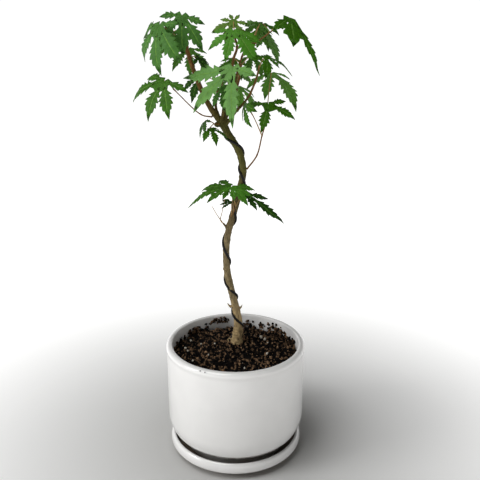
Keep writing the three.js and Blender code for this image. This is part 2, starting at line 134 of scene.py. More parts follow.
class Mass(NamedTuple):
    """One mass of foliage: its seed, how many leaves the rule tries, its heading, reach and stem."""

    seed: int
    spare: int
    turn: float
    reach: float
    stem: list
    leaves: list
    tint: str = "leaf_deep"


# A lobe is its angle to the middle one, its share of the blade's length and, where it isn't 1, how
# much wider than usual it is.
MASSES = {
    "foliage_left_top": Mass(
        11, 2, 120, 46, [(-34.7, 8.1, 331.7, 1.7), (-37, 9, 340, 1.6), (-38, 10, 354, 1.3)],
        [
            Leaf(
                (-56, 0, 356), 1, -120, 55, -10, 55, 38, "leaf_painted_sheen",
                [(-99, 1), (-48, 0.92), (1, 1.03), (41, 0.99, 1.15), (88, 0.5)],
            ),
            Leaf(
                (-39.5, 5, 363), 2, -90, 66, 0, 35, 36, "leaf_painted_sheen",
                [(-92, 0.5), (-46, 0.7), (0, 0.85, 1.2), (36, 0.87), (68, 0.52)],
            ),
            Leaf((-29, 11, 333), 0, 5, 25, -25, 45, 17, "leaf_painted_shade"),
        ],
    ),
    "foliage_centre": Mass(
        23, 2, 90, 40, [(-0.9, 0, 332, 1.05), (1.7, -1, 340, 0.95), (-0.5, -4, 348, 0.75)],
        [
            Leaf(
                (-1, -5, 352), 2, -106, 40, 9, 50, 29, "leaf_fresh",
                [(-88, 0.6), (-42, 0.84), (1, 0.94), (49, 1.1, 1.3), (85, 0.85)],
            ),
            Leaf(
                (-1, 5, 358.5), 2, -95, 50, 0, 40, 24, "leaf_yellowish",
                [(-158, 0.4), (-108, 0.5), (-65, 0.78), (-20, 0.85), (35, 0.8), (84, 0.5), (150, 0.4)],
            ),
        ],
        "leaf_yellowish",
    ),
    "foliage_right_top": Mass(
        31, 1, 75, 52, [(7.1, 2.2, 336.6, 0.75), (13.7, 2, 341.5, 0.65), (27.7, 0, 351.5, 0.5)],
        [
            Leaf(
                (19, 6, 357), 1, 40, 40, -15, 30, 34, "leaf_deep",
                [(-62, 0.42), (-3, 1.08, 1.25), (44, 0.95), (84, 0.66)],
            ),
            Leaf(
                (40.5, -2, 361), 2, -10, 35, -25, 40, 50, "leaf_deep",
                [(-93, 0.5), (-54, 0.57, 1.9), (-23, 0.98, 0.5)],
            ),
        ],
    ),
    "foliage_front": Mass(
        5, 0, 0, 50, [(-5.9, -8.6, 305.9, 1), (-5, -9, 311, 0.9), (-3.5, -10, 317, 0.8)],
        [
            Leaf(
                (-1.5, -22, 326), 2, -174, 46, 38, 8, 48, "pale_leaf_painted_sheen",
                [(-45, 0.96, 0.85), (-8, 0.92), (49, 1.04, 0.74), (107, 0.5)], 0.24,
            ),
            Leaf(
                (-9, -11, 311.5), 0, -95, 55, -14, 35, 20, "leaf_painted_sheen",
                [(-80, 0.6), (-36, 0.86), (2, 0.96), (38, 0.85), (80, 0.6)],
            ),
        ],
    ),
    "foliage_right": Mass(
        47, 1, 50, 36, [(11.5, -3.9, 305.7, 0.85), (16, -2, 316.5, 0.75), (18.6, 0, 326.5, 0.65)],
        [
            Leaf(
                (22.8, -6, 333.6), 2, -32, 24, -4, 40, 30, "leaf_deep",
                [(-91, 0.55), (-47, 0.9), (0, 0.5), (47, 0.96), (98, 0.5)],
            ),
        ],
    ),
    "foliage_twig": Mass(
        3, 0, 0, 60, [(9.6, -8, 249.6, 0.7), (17, -8, 260, 0.6), (20.8, -8, 275, 0.55), (24.5, -9, 288, 0.5)],
        [
            Leaf(
                (25.4, -12, 299.3), 3, -20, 25, -35, 34, 23, "leaf_deep",
                [(-149, 0.79), (-71, 1.09), (8, 1.05), (60, 0.74)],
            ),
            Leaf(
                (28, 8, 321.6), 3, 42, 14, 11, 70, 38, "leaf_fresh",
                [(-42, 0.42), (3, 1.12), (50, 0.84), (98, 0.72)],
            ),
            Leaf(
                (7, -14, 299.5), 2, -100, 40, -65, 50, 25, "leaf_deep",
                [(-100, 0.45), (-56, 0.55), (1, 0.93), (40, 0.88)],
            ),
        ],
    ),
    "foliage_left": Mass(
        17, 0, 0, 40, [(-18.2, 0.8, 288.5, 0.6), (-26, -2, 290.5, 0.5), (-46.5, -7, 310, 0.4)],
        [
            Leaf(
                (-53, -8, 316), 2, -135, 40, 15, 50, 36, "leaf_deep",
                [(-100, 0.77), (-61, 1.13), (-1, 0.96), (40, 0.91), (91, 0.62)],
            ),
        ],
    ),
    "foliage_fork": Mass(
        29, 0, 0, 26, [(-13.2, -2.6, 283.4, 0.5), (-16, -6, 284, 0.4)],
        [
            Leaf(
                (-19, -12, 281.5), 1, -55, 20, 0, 45, 18, "leaf_deep",
                [(-47, 0.92), (-2, 1.04), (55, 0.98), (100, 0.6)],
            ),
            Leaf(
                (-22, -8, 287), 1, -160, 45, 0, 45, 15, "leaf_painted_shade",
                [(-45, 0.85), (0, 1), (44, 0.9), (90, 0.5)],
            ),
        ],
    ),
    "foliage_inner": Mass(
        53, 2, 130, 42, [(-13.7, 14.6, 306.7, 1), (-11, 17, 312, 0.9), (-9, 20, 320, 0.8)],
        [
            Leaf(
                (-26.5, 14, 319), 1, -120, 45, 10, 40, 25, "leaf_painted_shade",
                [(-90, 0.6), (-48, 0.8), (-5, 0.95)],
            ),
        ],
        "leaf_painted_shade",
    ),
    "foliage_back": Mass(
        62, 4, 80, 52, [(0.4, 17.6, 306.8, 1.1), (3, 22, 316, 1), (5, 26, 328, 0.8)],
        [],
    ),
    "foliage_low": Mass(
        7, 0, 0, 50, [(-3.2, -7.6, 211, 0.45), (-1, -11.5, 216, 0.4), (0.5, -12.5, 221, 0.35)],
        [
            Leaf(
                (-3.4, -14, 237.2), 1, -173, 12, 18, 34, 36, "leaf_deep",
                [(-70, 0.6), (-36, 0.8), (-8, 1.12, 0.75), (22, 0.66), (58, 0.45)],
            ),
            Leaf(
                (-2.5, -20, 237.5), 2, -52, 32, -12, 35, 23, "leaf_fresh",
                [(-88, 0.4), (-22, 0.55, 1.3), (16, 0.86, 1.15), (48, 0.8), (78, 0.95)],
            ),
            Leaf(
                (8, -12, 231), 2, -15, 28, -18, 14, 42, "leaf_painted_shade",
                [(-32, 0.45), (-3, 0.92, 0.8), (30, 0.5)],
            ),
            Leaf(
                (-2.8, -13, 224), 0, 175, 10, 20, 30, 16, "leaf_painted_shade",
                [(-50, 0.9), (-12, 0.7), (30, 0.6)],
            ),
        ],
    ),
}

# ---------------------------------------------------------------- sizes of the dressing

# Depths of a blade's upper and under face, near the middle of the source's thicker blade.
BLADE_FACES = (0.28, 0.56)
# Fractions across a lobe, from its right edge to its left.
BLADE_COLUMNS = (-1, -0.74, -0.4, -0.06, 0, 0.06, 0.4, 0.74, 1)
# The strips between those columns that are the vein, and how far along a lobe it shows.
VEIN_STRIPS = (3, 4)
VEIN_END = 0.82
# Blades shorter than this have shallower veins.
FULL_RELIEF_LENGTH = 30
# Rows up to the notch between two lobes, and how far along the middle vein the last of them starts.
NOTCH_ROWS = 4
NOTCH_MIDDLE = 0.27
# A lobe's chance turn in degrees, and its sidewise sweep and droop as shares of its length.
LOBE_TURN = 4
LOBE_SWEEP = 0.16
LOBE_DROOP = 0.1
DROOP_START = 0.45
# The keel fades in over this share of a lobe beyond the notch, so that two lobes meet level there.
KEEL_FADE = 0.25
# Slow waves of the whole blade: how many to a millimetre, and how high as a share of the distance.
WAVE_PITCH = 0.09
WAVE_HEIGHT = 0.05
# Half-width of a lobe beyond the notch, as shares of its length, at fractions of the way to its tip.
LOBE_OUTLINE = [
    (0, 0.11), (0.2, 0.15), (0.38, 0.175), (0.54, 0.158), (0.7, 0.1), (0.84, 0.042), (0.92, 0.018), (1, 0),
]
# The rows of a tooth: how far along it each lies, how much of the cut it adds to the lobe's width,
# and how far the skin is puffed up (1) or sunk as a side vein (-1).
TOOTH_ROWS = [(0.04, -1, 1), (0.5, -0.3, 0.3), (1, 0.35, -1)]
TEETH_END = 0.9
# How far a side vein leads forward from the middle vein to the edge, as a share of the lobe's length,
# at the notch and at the tip.
VEIN_LEAD = (0.125, 0.01)
# The teeth's cut varies by chance between these shares of itself, and shrinks by this towards the tip.
CUT_SPREAD = (0.75, 1.25)
CUT_SHRINK = 0.45
# The heel behind the root: its angle beyond the outer lobe, and its distance as a share of the length.
HEEL = (58, 0.1)
# How much thicker than at its middle a petiole is at its stem and at its blade.
PETIOLE_ENDS = (1.35, 1.1)
PETIOLE_STEPS = 16

# How far the rounded lip stands out from the pot's side.
LIP_BEAD = 0.5
# The pot's inner wall is cut into rows at these heights.
WALL_ROWS = (92, 86, 78)

# Steps along a limb between two of its knots, and along the whole trunk, and the sides of each.
STEPS_PER_KNOT = 8
TRUNK_STEPS = 110
BOUGH_SIDES = 14
TRUNK_SIDES = 20
# How much a stem swells at each of its knots.
NODE_SWELL = 0.22
# The bark's fissures, whose cells are longer along the limb than across it, and its warts: cells to a
# millimetre, and the level of the noise that a wart rises above.
FISSURE_ACROSS = 0.9
FISSURE_ALONG = 0.22
WART_PITCH = 0.33
WART_LEVEL = 0.18
# The bark's colours run from the first of these heights to the second.
BARK_HEIGHTS = (90, 340)
# Above this height the bark is young, and has this share of the relief.
YOUNG_BARK_FOOT = 290
YOUNG_RELIEF = 0.45
# The wrinkles round the trunk's swollen foot: radians to a millimetre, and where they fade out.
RING_PITCH = 2.2
RING_TOP = 112
RING_FADE = 8

# How deep the wire has sunk into the bark, and how finely it and the axis it follows are cut.
WIRE_SINK = 0.8
WIRE_STEPS = 320
WIRE_AXIS_STEPS = 800

# Surface roots at the trunk's foot, and stubs on the trunk where twigs were cut off.
SURFACE_ROOTS = [
    [
        (-1, 9, 96, 1.6), (-3.8, 10, 94.8, 0.8), (-6, 12, 94.2, 0.55), (-7, 13.5, 92.6, 0.5),
        (-6, 11, 91.2, 0.45),
    ],
    [(0.2, 7, 95, 1.8), (-0.8, 5.6, 93.2, 1.2), (-1.8, 4.2, 91.7, 0.8)],
    [(3.6, 11, 97, 1.2), (6.4, 12.6, 97.6, 0.55), (8.2, 14, 98.4, 0.4), (9.4, 15, 97.8, 0.35)],
    [(2, 14, 94, 2), (3.6, 17.6, 92.4, 1.4), (3.2, 21, 90.9, 0.9)],
]
TRUNK_STUBS = [
    [(-3.4, 4.6, 127.6, 1.4), (-5.3, 4, 129, 0.9), (-6.9, 3.6, 131.6, 0.42)],
    [(1.2, 6.8, 124.6, 1.4), (4.4, 7.6, 125.6, 0.9), (6, 8, 128.4, 0.4)],
    [(-4.4, 2.4, 146, 2.4), (-2.6, 1.6, 146.6, 2), (-1.9, 1.4, 147, 1.2)],
    [(-7.6, 2, 163.4, 2.2), (-9.6, 1.2, 163.8, 1.7), (-10.2, 1, 164, 1)],
    [(-6.4, -1.2, 199, 1.7), (-7.9, -3, 201.8, 1), (-9.9, -3.6, 204.4, 0.7)],
    [(5.6, -9.4, 247.6, 2.3), (7.4, -9.6, 248.8, 1.8), (8.6, -9, 249.4, 1.1)],
    [(-1.6, -2.4, 270, 2.4), (-1, -1, 272.6, 1.8), (-0.4, -0.6, 273.6, 1)],
    [(-13.6, -1, 283, 2.6), (-13.4, -2.4, 282.6, 2), (-13.4, -2.8, 282.6, 1.2)],
]
# Hair-fine petioles and twigs besides the leaves' own.
FINE_TWIGS = [
    [(-9.6, -3.6, 204, 0.55), (-11.8, -4, 206.8, 0.4), (-10.5, -7, 214, 0.3), (-8, -11, 226, 0.25)],
    [(-10.6, -3.8, 205.4, 0.5), (-14, -6, 211, 0.3), (-18.5, -9, 220, 0.25)],
    [(20.8, -8, 274.9, 0.5), (16.8, -6.4, 284, 0.42), (11, -4.6, 295, 0.36), (7.4, -4, 299, 0.3)],
    [(12.4, 1.9, 340.6, 0.6), (14.6, 2, 347.6, 0.5), (17.6, 4.2, 354.6, 0.45)],
]

# The mound under the crumbs: how far it lies below the source's surface, how high its lumps are and
# how many there are to a millimetre, and the rings and spokes it is cut into.
MOUND_SINK = 1.4
MOUND_LUMPS = 1.1
MOUND_PITCH = 0.12
MOUND_RINGS = 40
MOUND_SPOKES = 120
# A lump may be turned by any angle up to this many radians, and its dents are this many to a metre.
ANY_TURN = 6.3
CRUMB_DENTS = 520
GRAIN_DENTS = 1300
# Bits of perlite that lie in view on the soil, and how far each is across.
PERLITE = [
    (-40.2, 16.9, 89.4, 2.6), (-43.8, 2.5, 89.4, 2.6), (-41.2, -3.2, 89.8, 2.2), (-30.5, 7.4, 91.1, 1.7),
    (-22.8, -13.6, 91.6, 1.6), (-18.5, 6.3, 91.8, 1.9), (7.6, -35.1, 90.8, 1.9), (22.9, 20.2, 91.3, 3),
    (26.3, 16.2, 91.3, 2.8), (28.3, 9.1, 91.3, 1.7), (26.9, -11.5, 91.6, 2.1), (-35.5, -21.2, 89.9, 2),
]
# Where clumps of soil cling to the pot's inner wall: the arc in degrees, the heights, and the cover.
WALL_CLUMPS = [
    (97, 118, 91, 96.6, 1), (118, 146, 84, 93.5, 0.9), (70, 82, 84, 93.4, 0.95), (60, 67, 87, 94.6, 0.85),
    (30, 57, 84, 95.4, 0.95), (10, 30, 84, 91, 0.8), (146, 176, 84, 90.5, 0.55), (-60, 10, 83, 86, 0.3),
    (176, 300, 83, 86, 0.3),
]
# The scraps of wall that crumbs are strewn on: their width in degrees, how far in they lie, and how
# ragged a noise makes the clump's top and its two ends.
SCRAP_ARC = 1.5
SCRAP_INSET = 0.3
TOP_RAGGED = 1.3
ENDS_RAGGED = 0.45
# Crumbs that fell on the lip and into the saucer, and how far each is across.
STRAY_CRUMBS = [
    (-27.2, -52.6, 97.9, 1.1), (-23.4, -54.5, 97.8, 0.9), (19.2, -50.1, 8.6, 2), (-27.3, -46, 8, 1.6),
    (-3.5, -53.3, 9.4, 1.6), (-38, -37, 8.6, 1.3), (36, -38, 8.8, 1.5),
]

# The camera's place, how far it looks down in degrees, and its lens and sensor.
CAMERA_PLACE = (3.9, -465, 329)
CAMERA_PITCH = 16.75
LENS = 44.25
SENSOR = 36
# Square area lights: place and width in metres, and power in watts. They face the plant's middle.
LIGHTS = {"key_from_left": ((-2.6, -0.8, 1.4), 28, 1), "top": ((-0.9, -0.7, 2.5), 27, 1.4)}
LIGHTS_FACE = (0, 0, 0.2)
# Half the floor's width.
FLOOR_REACH = 6000
# The distances in metres at which the floor's painted glow starts and is full, and how strong it is then.
FLOOR_GLOW = (0.07, 0.42)
FLOOR_GLOW_STRENGTH = 0.95
# The white surround fades out between these heights in the sky, as the sine of the angle.
SURROUND_TOP = (0.2, 0.3)
SURROUND_STRENGTH = 1.05
# The sky is faintly lit on the left, and falls to none between these two ways across it.
SKY_STRENGTH = 0.3
SKY_SIDES = (-0.7, 0.7)


# ---------------------------------------------------------------- sizes and colours a user would change


def linear(colour):
    """An sRGB hex colour as linear red, green, blue and alpha."""
    parts = [int(colour[i:i + 2], 16) / 255 for i in (1, 3, 5)]
    return [c / 12.92 if c <= 0.04045 else ((c + 0.055) / 1.055) ** 2.4 for c in parts] + [1]


def length_property(name, description, millimetres):
    return FloatProperty(
        name=name, description=description, default=millimetres * MM, min=0, unit="LENGTH", precision=5
    )


def colour_property(name, description, colour):
    return FloatVectorProperty(
        name=name, description=description, default=linear(colour), subtype="COLOR", size=4, min=0, max=1
    )


class MapleSizes(bpy.types.PropertyGroup):
    wire: length_property("Wire radius", "Radius of the black training wire", 1.05)
    petiole: length_property("Petiole radius", "Radius of a leaf's stalk at its middle", 0.35)
    relief: length_property("Vein relief", "How deep a blade's veins lie below the puffed skin between", 0.16)
    keel: FloatProperty(
        name="Keel", description="Slope of a lobe's halves up from its middle vein", default=0.12
    )
    tooth: FloatProperty(
        name="Tooth depth", description="Depth of the teeth as a share of the lobe's half-width", default=0.4
    )
    teeth: IntProperty(name="Teeth", description="Teeth on each side of a main lobe", default=5, min=2)
    bark_voxel: length_property("Bark grain", "Size of the cells the bark is remeshed to", 0.38)
    bark_relief: length_property("Bark relief", "Height of the bark's fissures and warts", 0.36)
    crumb: length_property("Crumb size", "Radius of a large crumb of potting mix", 2)
    chip: length_property("Chip size", "Half the length of a large chip of bark", 2.5)
    turned_segments: IntProperty(
        name="Round segments", description="Segments round pot and saucer", default=160
    )


class MapleColours(bpy.types.PropertyGroup):
    glaze: colour_property("Glaze", "White glaze of pot and saucer", "#e9e8e6")
    bare_clay: colour_property("Bare clay", "Foot of the saucer, where the glaze stops", "#b9a78f")
    peat: colour_property("Peat", "Black-brown body of the potting mix", "#070403")
    chip: colour_property("Bark chips", "Brown chips in the potting mix", "#80654c")
    perlite: colour_property("Perlite", "Off-white grains in the potting mix", "#c9c2b4")
    foot_bark: colour_property("Foot bark", "Tan bark at the trunk's foot and on its roots", "#a08a64")
    low_bark: colour_property("Low bark", "Lighter grey-brown bark of the lower trunk", "#786a4c")
    old_bark: colour_property("Old bark", "Grey-brown bark along the trunk", "#5c4f35")
    green_bark: colour_property("Green bark", "Olive bark below the fork", "#4c4a20")
    young_bark: colour_property("Young bark", "Orange-brown bark of the boughs", "#5a4520")
    twig: colour_property("Twig", "Red-brown skin of the twigs", "#6b4a22")
    petiole: colour_property("Petiole", "Olive tan stalk of a leaf", "#93764a")
    wire: colour_property("Wire", "Black coat of the training wire", "#0b0908")
    leaf_deep: colour_property("Deep leaf", "Upper face of most leaves", "#336008")
    # Painted sheen: this bluish tint stands in for the sky's sheen on the leaves turned to the sky.
    leaf_painted_sheen: colour_property("Bluish leaf", "Upper face of the leaves turned to the sky", "#3c6826")
    leaf_fresh: colour_property("Fresh leaf", "Upper face of the brighter leaves", "#457b20")
    leaf_yellowish: colour_property("Yellowish leaf", "Upper face of the youngest leaves", "#527122")
    # Painted shade: this darker tint stands in for the shade on the leaves inside and under the crown.
    leaf_painted_shade: colour_property("Dark leaf", "Upper face of the shaded leaves", "#264c0e")
    # Painted sheen: this paler tint stands in for the sheen on the large leaf in front.
    pale_leaf_painted_sheen: colour_property("Pale leaf", "Upper face of the large pale leaf in front", "#5a8541")
    underside: colour_property("Leaf underside", "Paler under face of every leaf", "#44701f")
    vein: colour_property("Vein", "Main veins of a leaf", "#5f8a35")
    floor: colour_property("Floor", "Plain pale floor under the plant", "#c8c8c6")


# ---------------------------------------------------------------- nodes and objects


def connect(tree, value, socket):
    """Links a socket, or a node's first output, to an input, or sets the input to a constant."""
    if isinstance(value, bpy.types.Node):
        value = value.outputs[0]
    if isinstance(value, bpy.types.NodeSocket):
        tree.links.new(value, socket)
    else:
        socket.default_value = value


def add_node(tree, kind, inputs=None, **settings):
    """Adds a node with its settings and its inputs."""
    node = tree.nodes.new(kind)
    for name, value in settings.items():
        setattr(node, name, value)
    for name, value in (inputs or {}).items():
        connect(tree, value, node.inputs[name])
    return node


def new_material(name, **constants):
    """A material with a Principled shader, and the constants set on the shader's own sockets."""
    material = bpy.data.materials.new(name)
    material.use_nodes = True
    shader = material.node_tree.nodes["Principled BSDF"]
    for socket, value in constants.items():
        shader.inputs[socket.replace("_", " ").title().replace("Ior", "IOR")].default_value = value
    return material, material.node_tree, shader


def object_coordinates(tree, scale=(1, 1, 1)):
    """Object coordinates in metres, stretched by the scale."""
    place = add_node(tree, "ShaderNodeTexCoord").outputs["Object"]
    return add_node(tree, "ShaderNodeMapping", {"Vector": place, "Scale": scale})


def height_over_floor(tree):
    """The height of each spot of a piece, in metres."""
    return add_node(tree, "ShaderNodeSeparateXYZ", {0: object_coordinates(tree)}).outputs["Z"]


def grain(tree, millimetres, detail=3, roughness=0.55, stretch=(1, 1, 1)):
    """Noise whose cells are this large, from 0 to 1."""
    inputs = {
        "Vector": object_coordinates(tree, stretch), "Scale": 1 / (millimetres * MM), "Detail": detail,
        "Roughness": roughness,
    }
    return add_node(tree, "ShaderNodeTexNoise", inputs)


def shaded(tree, colour, pattern, least, most):
    """The colour made darker and lighter by a noise, which mostly lies from 0.3 to 0.7."""
    inputs = {"Value": pattern, "From Min": 0.3, "From Max": 0.7, "To Min": least, "To Max": most}
    value = add_node(tree, "ShaderNodeMapRange", inputs)
    return add_node(tree, "ShaderNodeHueSaturation", {"Color": colour, "Value": value})


def patched(tree, colour, other, pattern, low, high, most=1):
    """The colour with another over it, from none where a pattern is at low to most of it at high."""
    inputs = {"Value": pattern, "From Min": low, "From Max": high, "To Max": most}
    share = add_node(tree, "ShaderNodeMapRange", inputs)
    return add_node(tree, "ShaderNodeMix", {0: share, 6: colour, 7: other}, data_type="RGBA").outputs[2]


def give_skin(tree, shader, colour, pattern, millimetres, strength=1):
    """Gives a shader its colour, and fine relief of this height from a pattern."""
    connect(tree, colour, shader.inputs["Base Color"])
    inputs = {"Height": pattern, "Distance": millimetres * MM, "Strength": strength}
    connect(tree, add_node(tree, "ShaderNodeBump", inputs), shader.inputs["Normal"])


def new_object(name, mesh):
    thing = bpy.data.objects.new(name, mesh)
    bpy.context.scene.collection.objects.link(thing)
    return thing


def mesh_of(name, points, faces, edges=()):
    """A mesh from points in millimetres."""
    mesh = bpy.data.meshes.new(name)
    mesh.from_pydata([Vector(point[:3]) * MM for point in points], list(edges), faces)
    mesh.update()
    return mesh


def finish_piece(thing, slot, *nodes, smooth=True):
    """Shades a piece, lets it ride with the plant, and hides the nodes of the frame it stands for."""
    if smooth:
        thing.data.shade_smooth()
    else:
        thing.data.shade_flat()
    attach(thing, "root")
    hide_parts(*nodes)


def evaluated_mesh(thing, name):
    """The object's mesh with its modifiers applied."""
    graph = bpy.context.evaluated_depsgraph_get()
    mesh = bpy.data.meshes.new_from_object(thing.evaluated_get(graph))
    mesh.name = name
    return mesh


def run_nodes(thing, tree, values):
    """Runs a Geometry Nodes tree on an object, and keeps the result as its plain mesh."""
    modifier = thing.modifiers.new(tree.name, "NODES")
    modifier.node_group = tree
    for item in tree.interface.items_tree:
        if item.item_type == "SOCKET" and item.in_out == "INPUT" and item.name in values:
            modifier[item.identifier] = values[item.name]
    thing.update_tag()
    mesh = evaluated_mesh(thing, thing.name)
    thing.modifiers.remove(modifier)
    thing.data = mesh


def new_tree(name, inputs):
    """A Geometry Nodes tree with named inputs, and its two end nodes."""
    tree = bpy.data.node_groups.new(name, "GeometryNodeTree")
    tree.interface.new_socket("Geometry", in_out="INPUT", socket_type="NodeSocketGeometry")
    tree.interface.new_socket("Geometry", in_out="OUTPUT", socket_type="NodeSocketGeometry")
    for socket, kind in inputs.items():
        tree.interface.new_socket(socket, in_out="INPUT", socket_type=f"NodeSocket{kind}")
    return tree, tree.nodes.new("NodeGroupInput").outputs, tree.nodes.new("NodeGroupOutput")


def limb_tree():
    """Round limbs along paths of edges, as thick as each point's attribute says."""
    tree, given, end = new_tree("Limbs along paths", {"Sides": "Int", "Skin": "Material"})
    size = add_node(tree, "GeometryNodeInputNamedAttribute", {"Name": "thickness"}, data_type="FLOAT")
    curve = add_node(tree, "GeometryNodeMeshToCurve", {"Mesh": given["Geometry"]})
    ring = add_node(tree, "GeometryNodeCurvePrimitiveCircle", {"Resolution": given["Sides"], "Radius": 1.0})
    inputs = {"Curve": curve, "Profile Curve": ring, "Scale": size, "Fill Caps": True}
    tube = add_node(tree, "GeometryNodeCurveToMesh", inputs)
    real = add_node(tree, "GeometryNodeRealizeInstances", {"Geometry": tube})
    skin = add_node(tree, "GeometryNodeSetMaterial", {"Geometry": real, "Material": given["Skin"]})
    connect(tree, skin, end.inputs["Geometry"])
    return tree


def scatter_tree():
    """Lumps strewn over a surface: crumbs, chips or grains, each with a shape of its own."""
    inputs = {
        "Density": "Float", "Seed": "Int", "Size": "Float", "Least": "Float", "Stretch": "Vector",
        "Jag": "Float", "Spacing": "Float", "Skin": "Material",
    }
    tree, given, end = new_tree("Lumps on a surface", inputs)
    inputs = {
        "Mesh": given["Geometry"], "Distance Min": given["Spacing"], "Density Max": given["Density"],
        "Seed": given["Seed"],
    }
    strewn = add_node(tree, "GeometryNodeDistributePointsOnFaces", inputs, distribute_method="POISSON")
    lump = add_node(tree, "GeometryNodeMeshIcoSphere", {"Radius": 1.0, "Subdivisions": 1})
    inputs = {"Seed": given["Seed"], "Min": (0, 0, 0), "Max": [ANY_TURN] * 3}
    turn = add_node(tree, "FunctionNodeRandomValue", inputs, data_type="FLOAT_VECTOR")
    inputs = {"Seed": given["Seed"], 2: given["Least"], 3: 1.0}
    share = add_node(tree, "FunctionNodeRandomValue", inputs, data_type="FLOAT").outputs[1]
    size = add_node(tree, "ShaderNodeMath", {0: share, 1: given["Size"]}, operation="MULTIPLY")
    scale = add_node(tree, "ShaderNodeVectorMath", {0: given["Stretch"], "Scale": size}, operation="SCALE")
    inputs = {"Points": strewn, "Instance": lump, "Rotation": turn, "Scale": scale}
    lumps = add_node(tree, "GeometryNodeInstanceOnPoints", inputs)
    real = add_node(tree, "GeometryNodeRealizeInstances", {"Geometry": lumps})
    dents = add_node(tree, "ShaderNodeTexNoise", {"Scale": CRUMB_DENTS, "Detail": 1.0}).outputs["Color"]
    middle = add_node(tree, "ShaderNodeVectorMath", {0: dents, 1: (0.5, 0.5, 0.5)}, operation="SUBTRACT")
    shift = add_node(tree, "ShaderNodeVectorMath", {0: middle, "Scale": given["Jag"]}, operation="SCALE")
    jagged = add_node(tree, "GeometryNodeSetPosition", {"Geometry": real, "Offset": shift})
    skin = add_node(tree, "GeometryNodeSetMaterial", {"Geometry": jagged, "Material": given["Skin"]})
    connect(tree, skin, end.inputs["Geometry"])
    return tree


# ---------------------------------------------------------------- materials


def glaze_material(name, with_clay):
    """White satin glaze on stoneware: soft broad highlights, faint specks, and bare clay at the foot."""
    colours = bpy.context.scene.maple_colours
    material, tree, shader = new_material(name, roughness=0.28, ior=1.5, coat_weight=0.8, coat_roughness=0.1)
    colour = shaded(tree, colours.glaze, grain(tree, 26, 2), 0.97, 1.02)
    colour = patched(tree, colour, linear("#8f8a80"), grain(tree, 1.6, 2, 0.7), 0.76, 0.8, 0.35)
    if with_clay:
        inputs = {0: grain(tree, 5, 2), 1: 1.6 * MM, 2: height_over_floor(tree)}
        ragged = add_node(tree, "ShaderNodeMath", inputs, operation="MULTIPLY_ADD")
        colour = patched(tree, colour, colours.bare_clay, ragged, 2.6 * MM, 1.4 * MM)
    give_skin(tree, shader, colour, grain(tree, 14, 1), 0.25, 0.5)
    return material


def dirt_and_shade_glaze_material(name, dirt_and_shade_colour, clean, film_full, threshold):
    """Glaze with a thin dark film that thickens from the clean height to the full one: dried dirt, and in the
    saucer's gap under the pot painted shade as well.
    """
    colours = bpy.context.scene.maple_colours
    material, tree, shader = new_material(name, roughness=0.4, ior=1.5)
    inputs = {"Value": height_over_floor(tree), "From Min": clean * MM, "From Max": film_full * MM}
    low = add_node(tree, "ShaderNodeMapRange", inputs)
    mottled = add_node(tree, "ShaderNodeMath", {0: low, 1: grain(tree, 7, 4, 0.7)}, operation="ADD")
    glaze = shaded(tree, colours.glaze, grain(tree, 12, 3), 0.95, 1)
    inputs = {"Value": mottled, "From Min": threshold, "From Max": threshold + 0.5}
    film = add_node(tree, "ShaderNodeMapRange", inputs)
    give_skin(tree, shader, patched(tree, glaze, linear(dirt_and_shade_colour), film, 0, 1), film, 0.3)
    return material


def peat_material(name, colour, spread, roughness=0.92):
    """Damp peat and composted bark: dull, nearly black, each crumb a little lighter or redder."""
    material, tree, shader = new_material(name, roughness=roughness, specular_ior_level=0.12)
    clumps = shaded(tree, colour, grain(tree, 11, 2), 1 - spread * 0.8, 1 + spread * 0.8)
    crumbs = shaded(tree, clumps, grain(tree, 3, 2), 1 - spread, 1 + spread)
    give_skin(tree, shader, crumbs, grain(tree, 0.8, 3, 0.7), 0.3)
    return material


def bark_material():
    """Maple bark: tan and corky at the foot, grey-brown above, olive and orange-brown on young wood."""
    colours = bpy.context.scene.maple_colours
    material, tree, shader = new_material("maple_bark", roughness=0.75, specular_ior_level=0.15)
    foot, top = BARK_HEIGHTS
    inputs = {"Value": height_over_floor(tree), "From Min": foot * MM, "From Max": top * MM}
    ramp = add_node(tree, "ShaderNodeValToRGB", {"Fac": add_node(tree, "ShaderNodeMapRange", inputs)})
    stops = [
        (0.02, colours.foot_bark), (0.12, colours.foot_bark), (0.2, colours.low_bark),
        (0.38, colours.low_bark), (0.5, colours.old_bark), (0.66, colours.green_bark),
        (0.77, colours.green_bark), (0.86, colours.young_bark), (1, colours.twig),
    ]
    elements = ramp.color_ramp.elements
    for (position, colour), element in zip(stops, elements):
        element.position = position
        element.color = colour
    for position, colour in stops[len(elements):]:
        elements.new(position).color = colour
    streaks = grain(tree, 1.5, 4, 0.65, (1, 1, 0.28))
    colour = shaded(tree, ramp, streaks, 0.5, 1.4)
    colour = patched(tree, colour, linear("#3d3323"), grain(tree, 7, 3, 0.6), 0.56, 0.68, 0.6)
    give_skin(tree, shader, colour, streaks, 0.35, 0.8)
    return material


def twig_material(name, colour):
    """Smooth young skin of twigs and petioles: waxy, with faint lighter breaks along it."""
    material, tree, shader = new_material(name, roughness=0.55, specular_ior_level=0.2)
    give_skin(tree, shader, shaded(tree, colour, grain(tree, 4, 3), 0.72, 1.28), grain(tree, 0.7, 2), 0.08)
    return material


def wire_material():
    """Black-coated soft aluminium wire: a smooth dark coat with a dull sheen and rubbed spots."""
    colours = bpy.context.scene.maple_colours
    material, tree, shader = new_material("coated_wire", roughness=0.5, specular_ior_level=0.25)
    colour = shaded(tree, colours.wire, grain(tree, 9, 2), 0.7, 1.5)
    colour = patched(tree, colour, linear("#4a4034"), grain(tree, 5, 3, 0.6), 0.62, 0.72, 0.5)
    give_skin(tree, shader, colour, grain(tree, 1.2, 2), 0.05)
    return material


